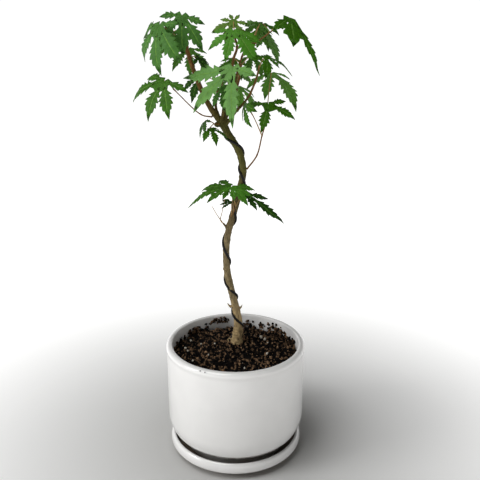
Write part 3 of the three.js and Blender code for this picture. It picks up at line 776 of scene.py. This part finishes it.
def leaf_material(name, colour, roughness=0.5):
    """A maple leaf's skin: waxy, with a broad soft sheen and fine cells between its veins."""
    material, tree, shader = new_material(name, roughness=roughness, specular_ior_level=0.16)
    mottle = shaded(tree, colour, grain(tree, 6, 3), 0.86, 1.16)
    cells = shaded(tree, mottle, grain(tree, 1.3, 2), 0.9, 1.1)
    give_skin(tree, shader, cells, grain(tree, 0.9, 2), 0.12, 0.7)
    return material


# ---------------------------------------------------------------- limbs


def seeded(seed):
    """Draws from 0 to 1, always the same for a seed, as the part's source draws them."""
    state = seed * 7919
    while True:
        state = state * 16807 % 2147483647
        yield state / 2147483647


def between(limits, share):
    return limits[0] + (limits[1] - limits[0]) * share


def axis_point(knots, t):
    """The point and the radius at a fraction of the way along a limb, on a centripetal spline."""
    place = [Vector(knot[:3]) for knot in knots]
    last = len(place) - 1
    i = min(int(t * last), last - 1)
    w = t * last - i
    x1, x2 = place[i], place[i + 1]
    x0 = place[i - 1] if i > 0 else 2 * x1 - x2
    x3 = place[i + 2] if i + 2 <= last else 2 * x2 - x1
    steps = [max((b - a).length ** 0.5, 1e-4) for a, b in ((x0, x1), (x1, x2), (x2, x3))]
    d0, d1, d2 = steps
    t1 = ((x1 - x0) / d0 - (x2 - x0) / (d0 + d1) + (x2 - x1) / d1) * d1
    t2 = ((x2 - x1) / d1 - (x3 - x1) / (d1 + d2) + (x3 - x2) / d2) * d1
    point = x1 + t1 * w + (3 * (x2 - x1) - 2 * t1 - t2) * w ** 2 + (2 * (x1 - x2) + t1 + t2) * w ** 3
    return point, between((knots[i][3], knots[i + 1][3]), w)


def axis_points(knots, steps):
    """Points and radii along a limb, as (x, y, z, radius)."""
    along = [axis_point(knots, i / steps) for i in range(steps + 1)]
    return [(*point, radius) for point, radius in along]


def limb_object(name, paths, sides, skin, tree):
    """One piece of many round limbs, from paths of points with their radii."""
    points, edges, radii = [], [], []
    for path in paths:
        first = len(points)
        points += [point[:3] for point in path]
        radii += [point[3] * MM for point in path]
        edges += [(i, i + 1) for i in range(first, first + len(path) - 1)]
    mesh = mesh_of(name, points, [], edges)
    mesh.attributes.new("thickness", "FLOAT", "POINT").data.foreach_set("value", radii)
    thing = new_object(name, mesh)
    run_nodes(thing, tree, {"Sides": sides, "Skin": skin})
    return thing


def add_tube(form, path, sides):
    """Adds a closed round tube along a path to a bmesh, for the remesh to join with the others."""
    rings = []
    for i, (*point, radius) in enumerate(path):
        ahead = Vector(path[min(i + 1, len(path) - 1)][:3])
        behind = Vector(path[max(i - 1, 0)][:3])
        turn = Vector((0, 0, 1)).rotation_difference(ahead - behind)
        ring = []
        for k in range(sides):
            angle = 2 * math.pi * k / sides
            spoke = Vector((math.cos(angle), math.sin(angle), 0)) * radius
            spoke.rotate(turn)
            ring.append(form.verts.new((Vector(point) + spoke) * MM))
        rings.append(ring)
    for low, high in zip(rings, rings[1:]):
        for k in range(sides):
            n = (k + 1) % sides
            form.faces.new((low[k], low[n], high[n], high[k]))
    form.faces.new(rings[0][::-1])
    form.faces.new(rings[-1])


# ---------------------------------------------------------------- leaves


def blade_frame(leaf):
    """Along the middle lobe, out of the upper face, and to the left of the lobe."""
    heading, dip, roll = (math.radians(angle) for angle in (leaf.heading, leaf.dip, leaf.roll))
    course = Vector((math.cos(heading), math.sin(heading), 0))
    up = Vector((0, 0, 1))
    along = course * math.cos(dip) - up * math.sin(dip)
    face = course * math.sin(dip) + up * math.cos(dip)
    left = face.cross(along)
    tilt = Quaternion(along, -roll)
    return along, tilt @ face, tilt @ left


def on_blade(leaf, axes, distance, angle, depth):
    """A point of the blade, bent down all round as the top of a ball."""
    along, face, left = axes
    ball = leaf.length / math.radians(leaf.bend)
    outward = along * math.cos(angle) + left * math.sin(angle)
    turn = distance / ball
    return (
        Vector(leaf.at) + outward * (ball - depth) * math.sin(turn)
        + face * ((ball - depth) * math.cos(turn) - ball)
    )


def nearest_axis(point):
    """The nearest point of the trunk's or a bough's axis."""
    spots = [Vector(spot[:3]) for knots in LIMBS for spot in axis_points(knots, 8 * len(knots))]
    return min(spots, key=lambda spot: (spot - point).length)


def touches_limb(leaf):
    """Whether any lobe comes too near the axis of the trunk or of a bough."""
    axes = blade_frame(leaf)
    probes = [
        on_blade(leaf, axes, part * share * leaf.length, math.radians(angle), 0.4)
        for angle, share in LOBES for part in (0, 0.3, 0.6, 0.9)
    ]
    for knots in LIMBS:
        axis = [Vector(point[:3]) for point in axis_points(knots, 6 * len(knots))]
        if any((probe - point).length < LIMB_BERTH for point in axis for probe in probes):
            return True
    return False


def spare_leaves(mass):
    """The leaves the seeded rule lays beyond the named ones, as in the part's source."""
    draws = seeded(mass.seed)
    leaves = []
    for i in range(mass.spare):
        start = len(mass.stem) - 1 - i % len(mass.stem)
        heading = mass.turn + SPARE["fan"] * (next(draws) - 0.5)
        petiole = between(SPARE["petiole"], next(draws))
        rise = between(SPARE["rise"], next(draws))
        length = between(SPARE["length"], next(draws))
        dip, roll, bend = (between(SPARE[name], next(draws)) for name in ("dip", "roll", "bend"))
        x, y, z = mass.stem[start][:3]
        course = math.radians(heading)
        at = (x + petiole * math.cos(course), y + petiole * math.sin(course), z + rise)
        leaf = Leaf(at, start, heading, dip, roll, bend, length, mass.tint)
        if petiole + length < mass.reach and not touches_limb(leaf):
            leaves.append(leaf)
    return leaves


def leaves_of(mass):
    return [*mass.leaves, *spare_leaves(mass)]


def outline_width(way):
    """A lobe's half-width as a share of its length, a fraction of the way from notch to tip."""
    for (low, first), (high, second) in zip(LOBE_OUTLINE, LOBE_OUTLINE[1:]):
        if way <= high:
            t = (way - low) / (high - low)
            return first + (second - first) * t * t * (3 - 2 * t) * 0.5 + (second - first) * t * 0.5
    return 0


def lobe_rows(reach, width, notch, teeth, tooth, draws):
    """Rows across a lobe beyond its notch: where each meets the middle vein, where it meets the
    edge, the half-width there, and how far it is puffed up (1) or sunk as a vein (-1)."""
    start = notch + 0.01
    step = (TEETH_END - start) / teeth
    rows = []
    for k in range(teeth):
        cut = tooth * between(CUT_SPREAD, next(draws)) * (1 - CUT_SHRINK * k / teeth)
        for part, share, puff in TOOTH_ROWS:
            edge = start + step * (k + part)
            way = (edge - start) / (1 - start)
            lead = between(VEIN_LEAD, way)
            half = outline_width(way) * width * (1 + share * cut) * reach
            rows.append(((edge - lead) * reach, edge * reach, half, puff))
    return rows


class BladeMesh:
    """Gathers the two faces of a leaf's blade, and closes its rim."""

    def __init__(self, leaf, sizes, seed):
        self.leaf = leaf
        self.sizes = sizes
        self.axes = blade_frame(leaf)
        self.phase = Vector((seed * 3.1, seed * 1.7, seed * 2.3))
        self.spots = []
        self.quads = []
        self.edges = []

    def spot(self, distance, angle, sunk):
        """Adds a point of the flat blade, sunk this far below its skin, in millimetres."""
        flat = Vector((math.cos(angle), math.sin(angle), 0)) * distance
        wave = noise.noise(flat * WAVE_PITCH + self.phase) * WAVE_HEIGHT * distance
        self.spots.append((distance, angle, sunk + wave))
        return len(self.spots) - 1

    def patch(self, lower, upper, veins):
        """Joins two rows of points, of which the lower may be the single root."""
        for k in range(len(upper) - 1):
            low = (lower[0],) if len(lower) == 1 else (lower[k], lower[k + 1])
            self.quads.append(((*low, upper[k + 1], upper[k]), veins and k in VEIN_STRIPS))

    def build(self):
        """Points in millimetres, faces, and each face's material: upper, vein or under."""
        count = len(self.spots)
        points = [
            on_blade(self.leaf, self.axes, distance, angle, depth + sunk)
            for depth in BLADE_FACES for distance, angle, sunk in self.spots
        ]
        faces, skins = [], []
        used = {}
        for corners, vein in self.quads:
            faces.append(corners)
            skins.append(1 if vein else 0)
            faces.append([count + corner for corner in reversed(corners)])
            skins.append(2)
            for pair in zip(corners, (*corners[1:], corners[0])):
                used[pair] = True
        for a, b in used:
            if (b, a) not in used:
                faces.append((b, a, count + a, count + b))
                skins.append(0)
        return points, faces, skins


def blade(leaf, sizes, seed):
    """A leaf's blade: lobes with toothed edges, sunken veins and puffed skin between them."""
    draws = seeded(seed)
    net = BladeMesh(leaf, sizes, seed)
    relief = sizes.relief / MM * min(1, leaf.length / FULL_RELIEF_LENGTH)
    shown = [
        (math.radians(angle + LOBE_TURN * (next(draws) - 0.5)), share * leaf.length, *(width or [1]))
        for angle, share, *width in leaf.lobes
    ]
    heel_angle, heel_share = math.radians(HEEL[0]), HEEL[1] * leaf.length
    sides = [(shown[0][0] - heel_angle, heel_share)]
    for (angle, reach, _), (next_angle, next_reach, _) in zip(shown, shown[1:]):
        sides.append(((angle + next_angle) / 2, leaf.notch * min(reach, next_reach)))
    sides.append((shown[-1][0] + heel_angle, heel_share))
    root = net.spot(0, 0, relief)
    rays = [
        [net.spot(distance * (k + 1) / NOTCH_ROWS, angle, -relief * 0.4) for k in range(NOTCH_ROWS)]
        for angle, distance in sides
    ]
    for i, (axis, reach, width) in enumerate(shown):
        sweep = LOBE_SWEEP * (next(draws) - 0.5)
        droop = LOBE_DROOP * (next(draws) - 0.35)

        def place(x, y, sunk):
            bowed = y + sweep * x * x / reach
            beyond = max(0, min(1, (x / reach - leaf.notch) / KEEL_FADE))
            keel = -sizes.keel * abs(y) * beyond + droop * max(0, x / reach - DROOP_START) ** 2 * reach
            return net.spot(math.hypot(x, bowed), axis + math.atan2(bowed, x), sunk + keel)

        before = [root]
        for k in range(NOTCH_ROWS):
            middle = NOTCH_MIDDLE * reach * (k + 1) / NOTCH_ROWS
            row = []
            for column in BLADE_COLUMNS:
                if abs(column) == 1:
                    row.append(rays[i + (column > 0)][k])
                    continue
                angle, distance = sides[i + (column > 0)]
                edge = distance * (k + 1) / NOTCH_ROWS
                offset = angle - axis
                x = middle + (edge * math.cos(offset) - middle) * abs(column)
                y = edge * math.sin(offset) * abs(column)
                row.append(place(x, y, relief if column == 0 else -relief * 0.3))
            net.patch(before, row, True)
            before = row
        count = max(3, round(sizes.teeth * reach / leaf.length))
        for middle, edge, half, puff in lobe_rows(reach, width, leaf.notch, count, sizes.tooth, draws):
            row = []
            for column in BLADE_COLUMNS:
                x = middle + (edge - middle) * abs(column)
                ridge = relief if column == 0 else -relief * puff * (1 - abs(column) ** 3)
                row.append(place(x, half * column, ridge))
            net.patch(before, row, middle < VEIN_END * reach)
            before = row
        tip = place(reach, 0, 0)
        for k in range(len(before) - 1):
            net.quads.append(((before[k], tip, before[k + 1]), False))
    return net.build()


# ---------------------------------------------------------------- pieces


def arc(centre, width, height, start, end, steps):
    """Part of an ellipse in a turned profile."""
    return [
        (centre[0] + width * math.cos(math.radians(between((start, end), i / steps))),
         centre[1] + height * math.sin(math.radians(between((start, end), i / steps))))
        for i in range(steps + 1)
    ]


def turned(name, profile, segments):
    """A closed body of revolution from a profile that starts and ends on the axis."""
    points, faces = [(0, 0, profile[0][1]), (0, 0, profile[-1][1])], []
    rings = []
    for radius, height in profile[1:-1]:
        rings.append([len(points) + k for k in range(segments)])
        for k in range(segments):
            angle = 2 * math.pi * k / segments
            points.append((radius * math.cos(angle), radius * math.sin(angle), height))
    for k in range(segments):
        n = (k + 1) % segments
        faces.append((0, rings[0][n], rings[0][k]))
        faces.append((1, rings[-1][k], rings[-1][n]))
        for low, high in zip(rings, rings[1:]):
            faces.append((low[k], low[n], high[n], high[k]))
    return mesh_of(name, points, faces)


def dirt_and_shade_inside(vessel, radius, floor):
    """Gives a vessel's faces within this radius and above this height its second material, with the dark film
    of dirt, which in the saucer is painted shade as well.
    """
    for face in vessel.data.polygons:
        middle = face.center / MM
        if middle.xy.length < radius and middle.z > floor:
            face.material_index = 1


class BuildPot(bpy.types.Operator):
    """Turns the glazed pot and its saucer"""

    bl_idname = "maple.build_pot"
    bl_label = "Glazed pot and saucer"

    def execute(self, context):
        segments = context.scene.maple_sizes.turned_segments
        radius, wall, floor = SAUCER["radius"], SAUCER["wall"], SAUCER["floor"]
        shoulder, outer, edge = SAUCER_LIP["shoulder"], SAUCER_LIP["outer"], SAUCER_LIP["edge"]
        height, crest = SAUCER["height"], radius - outer
        profile = [
            (0, 0), (SAUCER["base_radius"] - 5, 0), (SAUCER["base_radius"], 0),
            (SAUCER["base_radius"] + 1, 0.5),
            *arc((crest, shoulder), outer, outer, -50, 0, 6),
            *arc((crest, shoulder), outer, height - shoulder, 0, 90, 12)[1:],
            *arc((crest, height - edge), wall - outer, edge, 90, 180, 6)[1:],
            *arc((radius - wall - SAUCER_COVE, floor + SAUCER_COVE), SAUCER_COVE, SAUCER_COVE, 0, -90, 10),
            (0, floor),
        ]
        saucer = new_object("saucer_glazed", turned("saucer_glazed", profile, segments))
        saucer.data.materials.append(glaze_material("white_glaze_with_bare_foot", True))
        # In the saucer the dark film is dried dirt and painted shade in the gap under the pot.
        saucer.data.materials.append(dirt_and_shade_glaze_material("dirty_and_shaded_saucer_glaze", "#77695c", 11, 6, 0.75))
        # The margins here and on the pot take in the first faces of the rounded rim.
        dirt_and_shade_inside(saucer, radius - wall + 0.3, floor - 0.2)
        finish_piece(saucer, "white_glaze", "saucer")

        radius, top, wall = POT["radius"], POT["top"], POT["wall"]
        lip, inner_lip, inner = POT["lip"], POT["inner_lip"], POT["radius"] - POT["wall"]
        foot, body, corner = floor + GAP, radius - LIP_BEAD, POT_CORNER["width"]
        width, height = INSIDE_CORNER["width"], INSIDE_CORNER["height"]
        profile = [
            (0, foot), (POT["foot_radius"] - 1, foot), (POT["foot_radius"], foot + 1),
            (POT["foot_radius"], POT["foot_top"]),
            *arc((body - corner, CORNER_TOP), corner, POT_CORNER["height"], -72, 0, 18),
            # A shallow groove under the lip.
            (body, top - lip - 4), (body - 0.1, top - lip - 2.6), (radius - 0.35, top - lip - 1.4),
            *arc((radius - lip, top - lip), lip, lip, 0, 90, 14),
            *arc((inner + inner_lip, top - inner_lip), inner_lip, inner_lip, 90, 180, 8),
            *((inner, level) for level in WALL_ROWS),
            *arc((inner - width, CORNER_TOP), width, height, 0, -90, 12),
            (0, CORNER_TOP - height),
        ]
        pot = new_object("pot_glazed", turned("pot_glazed", profile, segments))
        pot.data.materials.append(glaze_material("white_glaze", False))
        pot.data.materials.append(dirt_and_shade_glaze_material("soiled_white_glaze", "#33271c", 97, 82, 1.15))
        dirt_and_shade_inside(pot, inner + 0.4, CORNER_TOP - height)
        finish_piece(pot, "white_glaze", "pot")
        return {"FINISHED"}


def mound_height(x, y):
    """Height of the soil's surface, a little below the source's so that the crumbs reach it."""
    out = (math.hypot(x, y) - SOIL["flat_radius"]) / (POT["radius"] - POT["wall"] - SOIL["flat_radius"])
    level = SOIL["edge"] + (SOIL["crown"] - SOIL["edge"]) * math.sqrt(max(0, 1 - max(0, out) ** 2))
    lumps = noise.fractal(Vector((x, y, 3)) * MOUND_PITCH, 1, 2, 4) * MOUND_LUMPS
    return level - MOUND_SINK + lumps


class BuildSoil(bpy.types.Operator):
    """Fills the pot with potting mix: a mound, crumbs, bark chips, perlite and clumps on the wall"""

    bl_idname = "maple.build_soil"
    bl_label = "Potting mix"

    def execute(self, context):
        sizes, colours = context.scene.maple_sizes, context.scene.maple_colours
        inner = POT["radius"] - POT["wall"] - GAP
        rings, spokes = MOUND_RINGS, MOUND_SPOKES
        points, faces = [(0, 0, mound_height(0, 0))], []
        for i in range(1, rings + 1):
            for k in range(spokes):
                angle, radius = 2 * math.pi * k / spokes, inner * i / rings
                x, y = radius * math.cos(angle), radius * math.sin(angle)
                points.append((x, y, mound_height(x, y)))
        for k in range(spokes):
            n = (k + 1) % spokes
            faces.append((0, 1 + k, 1 + n))
            for i in range(rings - 1):
                low = 1 + i * spokes
                faces.append((low + k, low + spokes + k, low + spokes + n, low + n))
        top_faces = len(faces)
        rim = 1 + (rings - 1) * spokes
        base = len(points)
        points += [(*points[rim + k][:2], CORNER_TOP) for k in range(spokes)] + [(0, 0, CORNER_TOP)]
        for k in range(spokes):
            n = (k + 1) % spokes
            faces.append((rim + k, base + k, base + n, rim + n))
            faces.append((base + n, base + k, base + spokes))
        soil = new_object("soil_mound", mesh_of("soil_mound", points, faces))
        peat = peat_material("damp_peat", colours.peat, 0.6)
        soil.data.materials.append(peat)
        finish_piece(soil, "potting_mix", "soil")

        chips = peat_material("composted_bark", colours.chip, 0.45, 0.8)
        umber = peat_material("brown_peat", linear("#5a4634"), 0.95)
        grains = peat_material("perlite_grains", colours.perlite, 0.12)
        tree = scatter_tree()
        upper = mesh_of("mound_top", points[:base], faces[:top_faces])
        wall = self.wall_patches(inner)
        # Name, surface, skin, lumps to a square metre, seed, size, least share of it, stretch, jaggedness.
        strewn = [
            ("peat_crumbs", upper, peat, 200000, 1, sizes.crumb, 0.35, (1, 0.85, 0.75), 1.2),
            ("brown_crumbs", upper, umber, 62000, 5, sizes.crumb * 1.1, 0.4, (1.25, 0.8, 0.6), 1.3),
            ("bark_chips", upper, chips, 52000, 9, sizes.chip, 0.3, (1, 0.5, 0.36), 1.3),
            ("perlite_crumbs", upper, grains, 2600, 14, 0.8 * MM, 0.4, (1, 0.8, 0.8), 0.9),
            ("wall_crumbs", wall, peat, 700000, 21, sizes.crumb * 0.8, 0.25, (1, 0.8, 0.7), 1.1),
            ("wall_brown_crumbs", wall, umber, 700000, 23, sizes.crumb * 0.8, 0.3, (1, 0.8, 0.6), 1.1),
        ]
        for name, surface, skin, density, seed, size, least, stretch, jag in strewn:
            lumps = new_object(name, surface.copy())
            values = {
                "Density": density, "Seed": seed, "Size": size, "Least": least, "Stretch": stretch,
                "Jag": jag * size, "Spacing": size * 0.6, "Skin": skin,
            }
            run_nodes(lumps, tree, values)
            finish_piece(lumps, "potting_mix", "soil", smooth=False)
        self.place_lumps("perlite_grains", PERLITE, grains, 31)
        self.place_lumps("stray_crumbs", STRAY_CRUMBS, peat, 37)
        return {"FINISHED"}

    def wall_patches(self, inner):
        """Scraps of the pot's inner wall where soil clings, as a surface to strew crumbs on."""
        points, faces = [], []
        for start, end, low, high, cover in WALL_CLUMPS:
            across = int((end - start) / SCRAP_ARC)
            for k in range(across):
                for i in range(int(high - low)):
                    angle, z = start + SCRAP_ARC * k, low + i
                    ragged = noise.noise(Vector((angle * 0.3, z * 0.35, 7))) * TOP_RAGGED + cover - 0.3
                    ends = ENDS_RAGGED * (2 * k / across - 1) ** 2
                    if ragged < (z - low) / (high - low) * 0.75 + ends:
                        continue
                    first = len(points)
                    for a, b in ((0, 0), (SCRAP_ARC, 0), (SCRAP_ARC, 1), (0, 1)):
                        turn, radius = math.radians(angle + a), inner - SCRAP_INSET
                        points.append((radius * math.cos(turn), radius * math.sin(turn), z + b))
                    faces.append((first + 3, first + 2, first + 1, first))
        return mesh_of("wall_patches", points, faces)

    def place_lumps(self, name, table, skin, seed):
        """Single lumps at named places, each given as its middle and how far it is across."""
        form = bmesh.new()
        draws = seeded(seed)
        for x, y, z, across in table:
            made = bmesh.ops.create_icosphere(form, subdivisions=2, radius=across / 2 * MM)["verts"]
            turn = Euler([ANY_TURN * next(draws) for _ in range(3)])
            squash = Vector((0.85 + 0.3 * next(draws), 0.8, 0.65 + 0.2 * next(draws)))
            for vert in made:
                rough = 1 + 0.5 * noise.noise(vert.co * GRAIN_DENTS + Vector((x, y, z)))
                vert.co = vert.co * squash * rough
                vert.co.rotate(turn)
                vert.co += Vector((x, y, z)) * MM
        mesh = bpy.data.meshes.new(name)
        form.to_mesh(mesh)
        form.free()
        mesh.materials.append(skin)
        finish_piece(new_object(name, mesh), "potting_mix", "soil", smooth=False)


class BuildBark(bpy.types.Operator):
    """Joins trunk, boughs, surface roots and stubs under one bark, and gives it its relief"""

    bl_idname = "maple.build_bark"
    bl_label = "Trunk and boughs"

    def execute(self, context):
        sizes = context.scene.maple_sizes
        form = bmesh.new()
        add_tube(form, axis_points(TRUNK_KNOTS, TRUNK_STEPS), TRUNK_SIDES)
        for knots in [*BOUGHS.values(), *SURFACE_ROOTS, *TRUNK_STUBS]:
            add_tube(form, axis_points(knots, STEPS_PER_KNOT * (len(knots) - 1)), BOUGH_SIDES)
        mesh = bpy.data.meshes.new("bark")
        form.to_mesh(mesh)
        form.free()
        bark = new_object("bark", mesh)
        bark.modifiers.new("Join", "REMESH").voxel_size = sizes.bark_voxel
        smooth = bark.modifiers.new("Soften", "SMOOTH")
        smooth.factor, smooth.iterations = 0.5, 3
        mesh = evaluated_mesh(bark, "bark")
        bark.modifiers.clear()
        bark.data = mesh
        normals = [vert.normal.copy() for vert in mesh.vertices]
        for vert, normal in zip(mesh.vertices, normals):
            x, y, z = vert.co / MM
            across = (x * FISSURE_ACROSS, y * FISSURE_ACROSS, z * FISSURE_ALONG)
            fissures = noise.fractal(Vector(across), 1, 2, 3)
            warts = max(0, noise.noise(vert.co / MM * WART_PITCH + Vector((5, 1, 9))) - WART_LEVEL)
            rings = math.sin(z * RING_PITCH + 3 * fissures) * max(0, min(1, (RING_TOP - z) / RING_FADE))
            age = 1 if z < YOUNG_BARK_FOOT else YOUNG_RELIEF
            vert.co += normal * sizes.bark_relief * age * (0.6 * fissures + 2 * warts + 0.5 * rings - 0.25)
        mesh.materials.append(bark_material())
        finish_piece(bark, "bark", "trunk", *BOUGHS)
        return {"FINISHED"}


class BuildWire(bpy.types.Operator):
    """Winds the training wire round the trunk"""

    bl_idname = "maple.build_wire"
    bl_label = "Training wire"

    def execute(self, context):
        radius = context.scene.maple_sizes.wire / MM
        way = [*TRUNK_KNOTS, *BOUGHS["bough_left"][1:4]]
        axis = axis_points(way, WIRE_AXIS_STEPS)
        path = []
        for i in range(WIRE_STEPS + 1):
            z = between((WIRE_FOOT, WIRE_END), i / WIRE_STEPS)
            near = next(k for k in range(1, WIRE_AXIS_STEPS) if axis[k][2] >= z)
            below = max(k for k, crossing in enumerate(WIRE_CROSSINGS[:-1]) if crossing <= z)
            low, high = WIRE_CROSSINGS[below], WIRE_CROSSINGS[below + 1]
            angle = -math.pi / 2 - 2 * math.pi * (below + (z - low) / (high - low))
            off = axis[near][3] + radius - WIRE_SINK
            spoke = Vector((off * math.cos(angle), off * math.sin(angle), 0))
            along = Vector(axis[near + 1][:3]) - Vector(axis[near - 1][:3])
            spoke.rotate(Vector((0, 0, 1)).rotation_difference(along))
            path.append((*(Vector(axis[near][:3]) + spoke), radius))
        wire = limb_object("wire_coil", [path], 12, wire_material(), limb_tree())
        finish_piece(wire, "black_wire", "training_wire")
        return {"FINISHED"}


class BuildTwigs(bpy.types.Operator):
    """Grows the twigs and the petioles of every mass"""

    bl_idname = "maple.build_twigs"
    bl_label = "Twigs and petioles"

    def execute(self, context):
        sizes, colours = context.scene.maple_sizes, context.scene.maple_colours
        stems, petioles = [], []
        for mass in MASSES.values():
            stem = axis_points(mass.stem, STEPS_PER_KNOT * (len(mass.stem) - 1))
            foot = nearest_axis(Vector(stem[0][:3]))
            ringed = [
                (x, y, z, radius * (1 + NODE_SWELL * (i % STEPS_PER_KNOT == 0)))
                for i, (x, y, z, radius) in enumerate(stem)
            ]
            stems.append([(*foot, stem[0][3]), *ringed])
            for leaf in leaves_of(mass):
                petioles.append(self.petiole(leaf, mass.stem, sizes.petiole / MM))
        petioles += [axis_points(knots, 6 * (len(knots) - 1)) for knots in FINE_TWIGS]
        masses = list(MASSES)
        tree = limb_tree()
        twigs = limb_object("twigs", stems, 10, twig_material("young_twig_skin", colours.twig), tree)
        finish_piece(twigs, "leaves", *masses)
        stalks = limb_object("petioles", petioles, 8, twig_material("petiole_skin", colours.petiole), tree)
        finish_piece(stalks, "leaves", *masses)
        return {"FINISHED"}

    def petiole(self, leaf, stem, radius):
        """A petiole rises in a low arch from its stem to the blade, thicker at both ends."""
        along = min(max(leaf.start / (len(stem) - 1), PETIOLE_ROOTS[0]), PETIOLE_ROOTS[1])
        root = axis_point(stem, along)[0]
        anchor = on_blade(leaf, blade_frame(leaf), 0, 0, sum(BLADE_FACES) / 2 + 0.1)
        arch = root.lerp(anchor, 0.5)
        arch.z += PETIOLE_ARCH * (anchor - root).length
        foot, end = PETIOLE_ENDS
        return axis_points([(*root, radius * foot), (*arch, radius), (*anchor, radius * end)], PETIOLE_STEPS)


class BuildLeaves(bpy.types.Operator):
    """Lays the leaves of every mass, each with toothed lobes and raised skin between its veins"""

    bl_idname = "maple.build_leaves"
    bl_label = "Leaves"

    def execute(self, context):
        sizes, colours = context.scene.maple_sizes, context.scene.maple_colours
        tints = {
            name: leaf_material(name, getattr(colours, name))
            for name in ("leaf_deep", "leaf_painted_sheen", "leaf_fresh", "leaf_yellowish", "leaf_painted_shade", "pale_leaf_painted_sheen")
        }
        vein = leaf_material("leaf_vein", colours.vein)
        under = leaf_material("leaf_underside", colours.underside, 0.6)
        for number, (name, mass) in enumerate(MASSES.items()):
            points, faces, skins = [], [], []
            materials = [vein, under]
            for k, leaf in enumerate(leaves_of(mass)):
                tint = tints[leaf.tint]
                if tint not in materials:
                    materials.append(tint)
                at = len(points)
                spots, corners, kinds = blade(leaf, sizes, 100 * number + k + 1)
                points += spots
                faces += [[at + corner for corner in face] for face in corners]
                skins += [(materials.index(tint), 0, 1)[kind] for kind in kinds]
            piece = name.replace("foliage", "leaves")
            thing = new_object(piece, mesh_of(piece, points, faces))
            for material in materials:
                thing.data.materials.append(material)
            thing.data.polygons.foreach_set("material_index", skins)
            finish_piece(thing, "leaves", name)
        return {"FINISHED"}


class BuildStage(bpy.types.Operator):
    """Sets the pale floor, the soft lights, the white surround and the camera"""

    bl_idname = "maple.build_stage"
    bl_label = "Floor, light and camera"

    def execute(self, context):
        colours = context.scene.maple_colours
        corners = [(x * FLOOR_REACH, y * FLOOR_REACH, 0) for x, y in ((-1, -1), (1, -1), (1, 1), (-1, 1))]
        floor = new_object("floor", mesh_of("floor", corners, [(0, 1, 2, 3)]))
        material, tree, shader = new_material("pale_board_with_painted_glow", roughness=0.9, specular_ior_level=0.1)
        board = shaded(tree, colours.floor, grain(tree, 60, 2), 0.995, 1.005)
        connect(tree, board, shader.inputs["Base Color"])
        # Painted light: the floor glows though it is no lamp, whiter the farther it is from the plant and the
        # same on every side, like a studio sweep, and greyer near the plant's foot as painted shade.
        place = object_coordinates(tree)
        far = add_node(tree, "ShaderNodeVectorMath", {0: place}, operation="LENGTH").outputs["Value"]
        start, full = FLOOR_GLOW
        inputs = {"Value": far, "From Min": start, "From Max": full, "To Max": FLOOR_GLOW_STRENGTH}
        glow = add_node(tree, "ShaderNodeMapRange", inputs)
        connect(tree, glow, shader.inputs["Emission Strength"])
        connect(tree, (1, 1, 1, 1), shader.inputs["Emission Color"])
        floor.data.materials.append(material)

        for name, (place, power, width) in LIGHTS.items():
            self.add_light(name, place, power, width)

        world = bpy.data.worlds.new("studio")
        world.use_nodes = True
        tree = world.node_tree
        view = add_node(tree, "ShaderNodeTexCoord").outputs["Generated"]
        ways = add_node(tree, "ShaderNodeSeparateXYZ", {0: view}).outputs
        left, right = SKY_SIDES
        inputs = {
            "Value": ways["X"], "From Min": left, "From Max": right, "To Min": SKY_STRENGTH, "To Max": 0,
        }
        sky = add_node(tree, "ShaderNodeMapRange", inputs)
        # A white surround, the same on every side, that ends a little above the horizon.
        low, high = SURROUND_TOP
        inputs = {
            "Value": ways["Z"], "From Min": low, "From Max": high, "To Min": SURROUND_STRENGTH, "To Max": 0,
        }
        surround = add_node(tree, "ShaderNodeMapRange", inputs)
        strength = add_node(tree, "ShaderNodeMath", {0: sky, 1: surround}, operation="MAXIMUM")
        connect(tree, strength, tree.nodes["Background"].inputs["Strength"])
        connect(tree, (1, 1, 1, 1), tree.nodes["Background"].inputs["Color"])
        context.scene.world = world
        # Colours are shown as they are, with no film curve.
        context.scene.view_settings.view_transform = "Standard"

        lens = bpy.data.cameras.new("camera")
        lens.lens, lens.sensor_width = LENS, SENSOR
        lens.dof.use_dof = False
        camera = bpy.data.objects.new("camera", lens)
        context.scene.collection.objects.link(camera)
        camera.location = Vector(CAMERA_PLACE) * MM
        camera.rotation_euler = (math.radians(90 - CAMERA_PITCH), 0, 0)
        context.scene.camera = camera
        return {"FINISHED"}

    def add_light(self, name, place, power, size):
        """A square area light that faces the plant's middle."""
        light = bpy.data.lights.new(name, "AREA")
        light.energy, light.size = power, size
        lamp = bpy.data.objects.new(name, light)
        bpy.context.scene.collection.objects.link(lamp)
        lamp.location = place
        lamp.rotation_euler = (Vector(place) - Vector(LIGHTS_FACE)).to_track_quat("Z", "Y").to_euler()


OPERATORS = (BuildPot, BuildSoil, BuildBark, BuildWire, BuildTwigs, BuildLeaves, BuildStage)


class MaplePanel(bpy.types.Panel):
    """Lists the maple's sizes, colours and pieces"""

    bl_idname = "VIEW3D_PT_maple"
    bl_label = "Potted Maple"
    bl_space_type = "VIEW_3D"
    bl_region_type = "UI"
    bl_category = "Maple"

    def draw(self, context):
        for group in (context.scene.maple_sizes, context.scene.maple_colours):
            for name in group.__annotations__:
                self.layout.prop(group, name)
        for operator in OPERATORS:
            self.layout.operator(operator.bl_idname)


CLASSES = (MapleSizes, MapleColours, *OPERATORS, MaplePanel)


def register():
    for cls in CLASSES:
        bpy.utils.register_class(cls)
    bpy.types.Scene.maple_sizes = PointerProperty(type=MapleSizes)
    bpy.types.Scene.maple_colours = PointerProperty(type=MapleColours)


def unregister():
    del bpy.types.Scene.maple_colours
    del bpy.types.Scene.maple_sizes
    for cls in reversed(CLASSES):
        bpy.utils.unregister_class(cls)


def main():
    """Builds the maple."""
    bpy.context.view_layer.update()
    register()
    for operator in OPERATORS:
        area, name = operator.bl_idname.split(".")
        getattr(getattr(bpy.ops, area), name)()


if __name__ == "__main__":
    main()
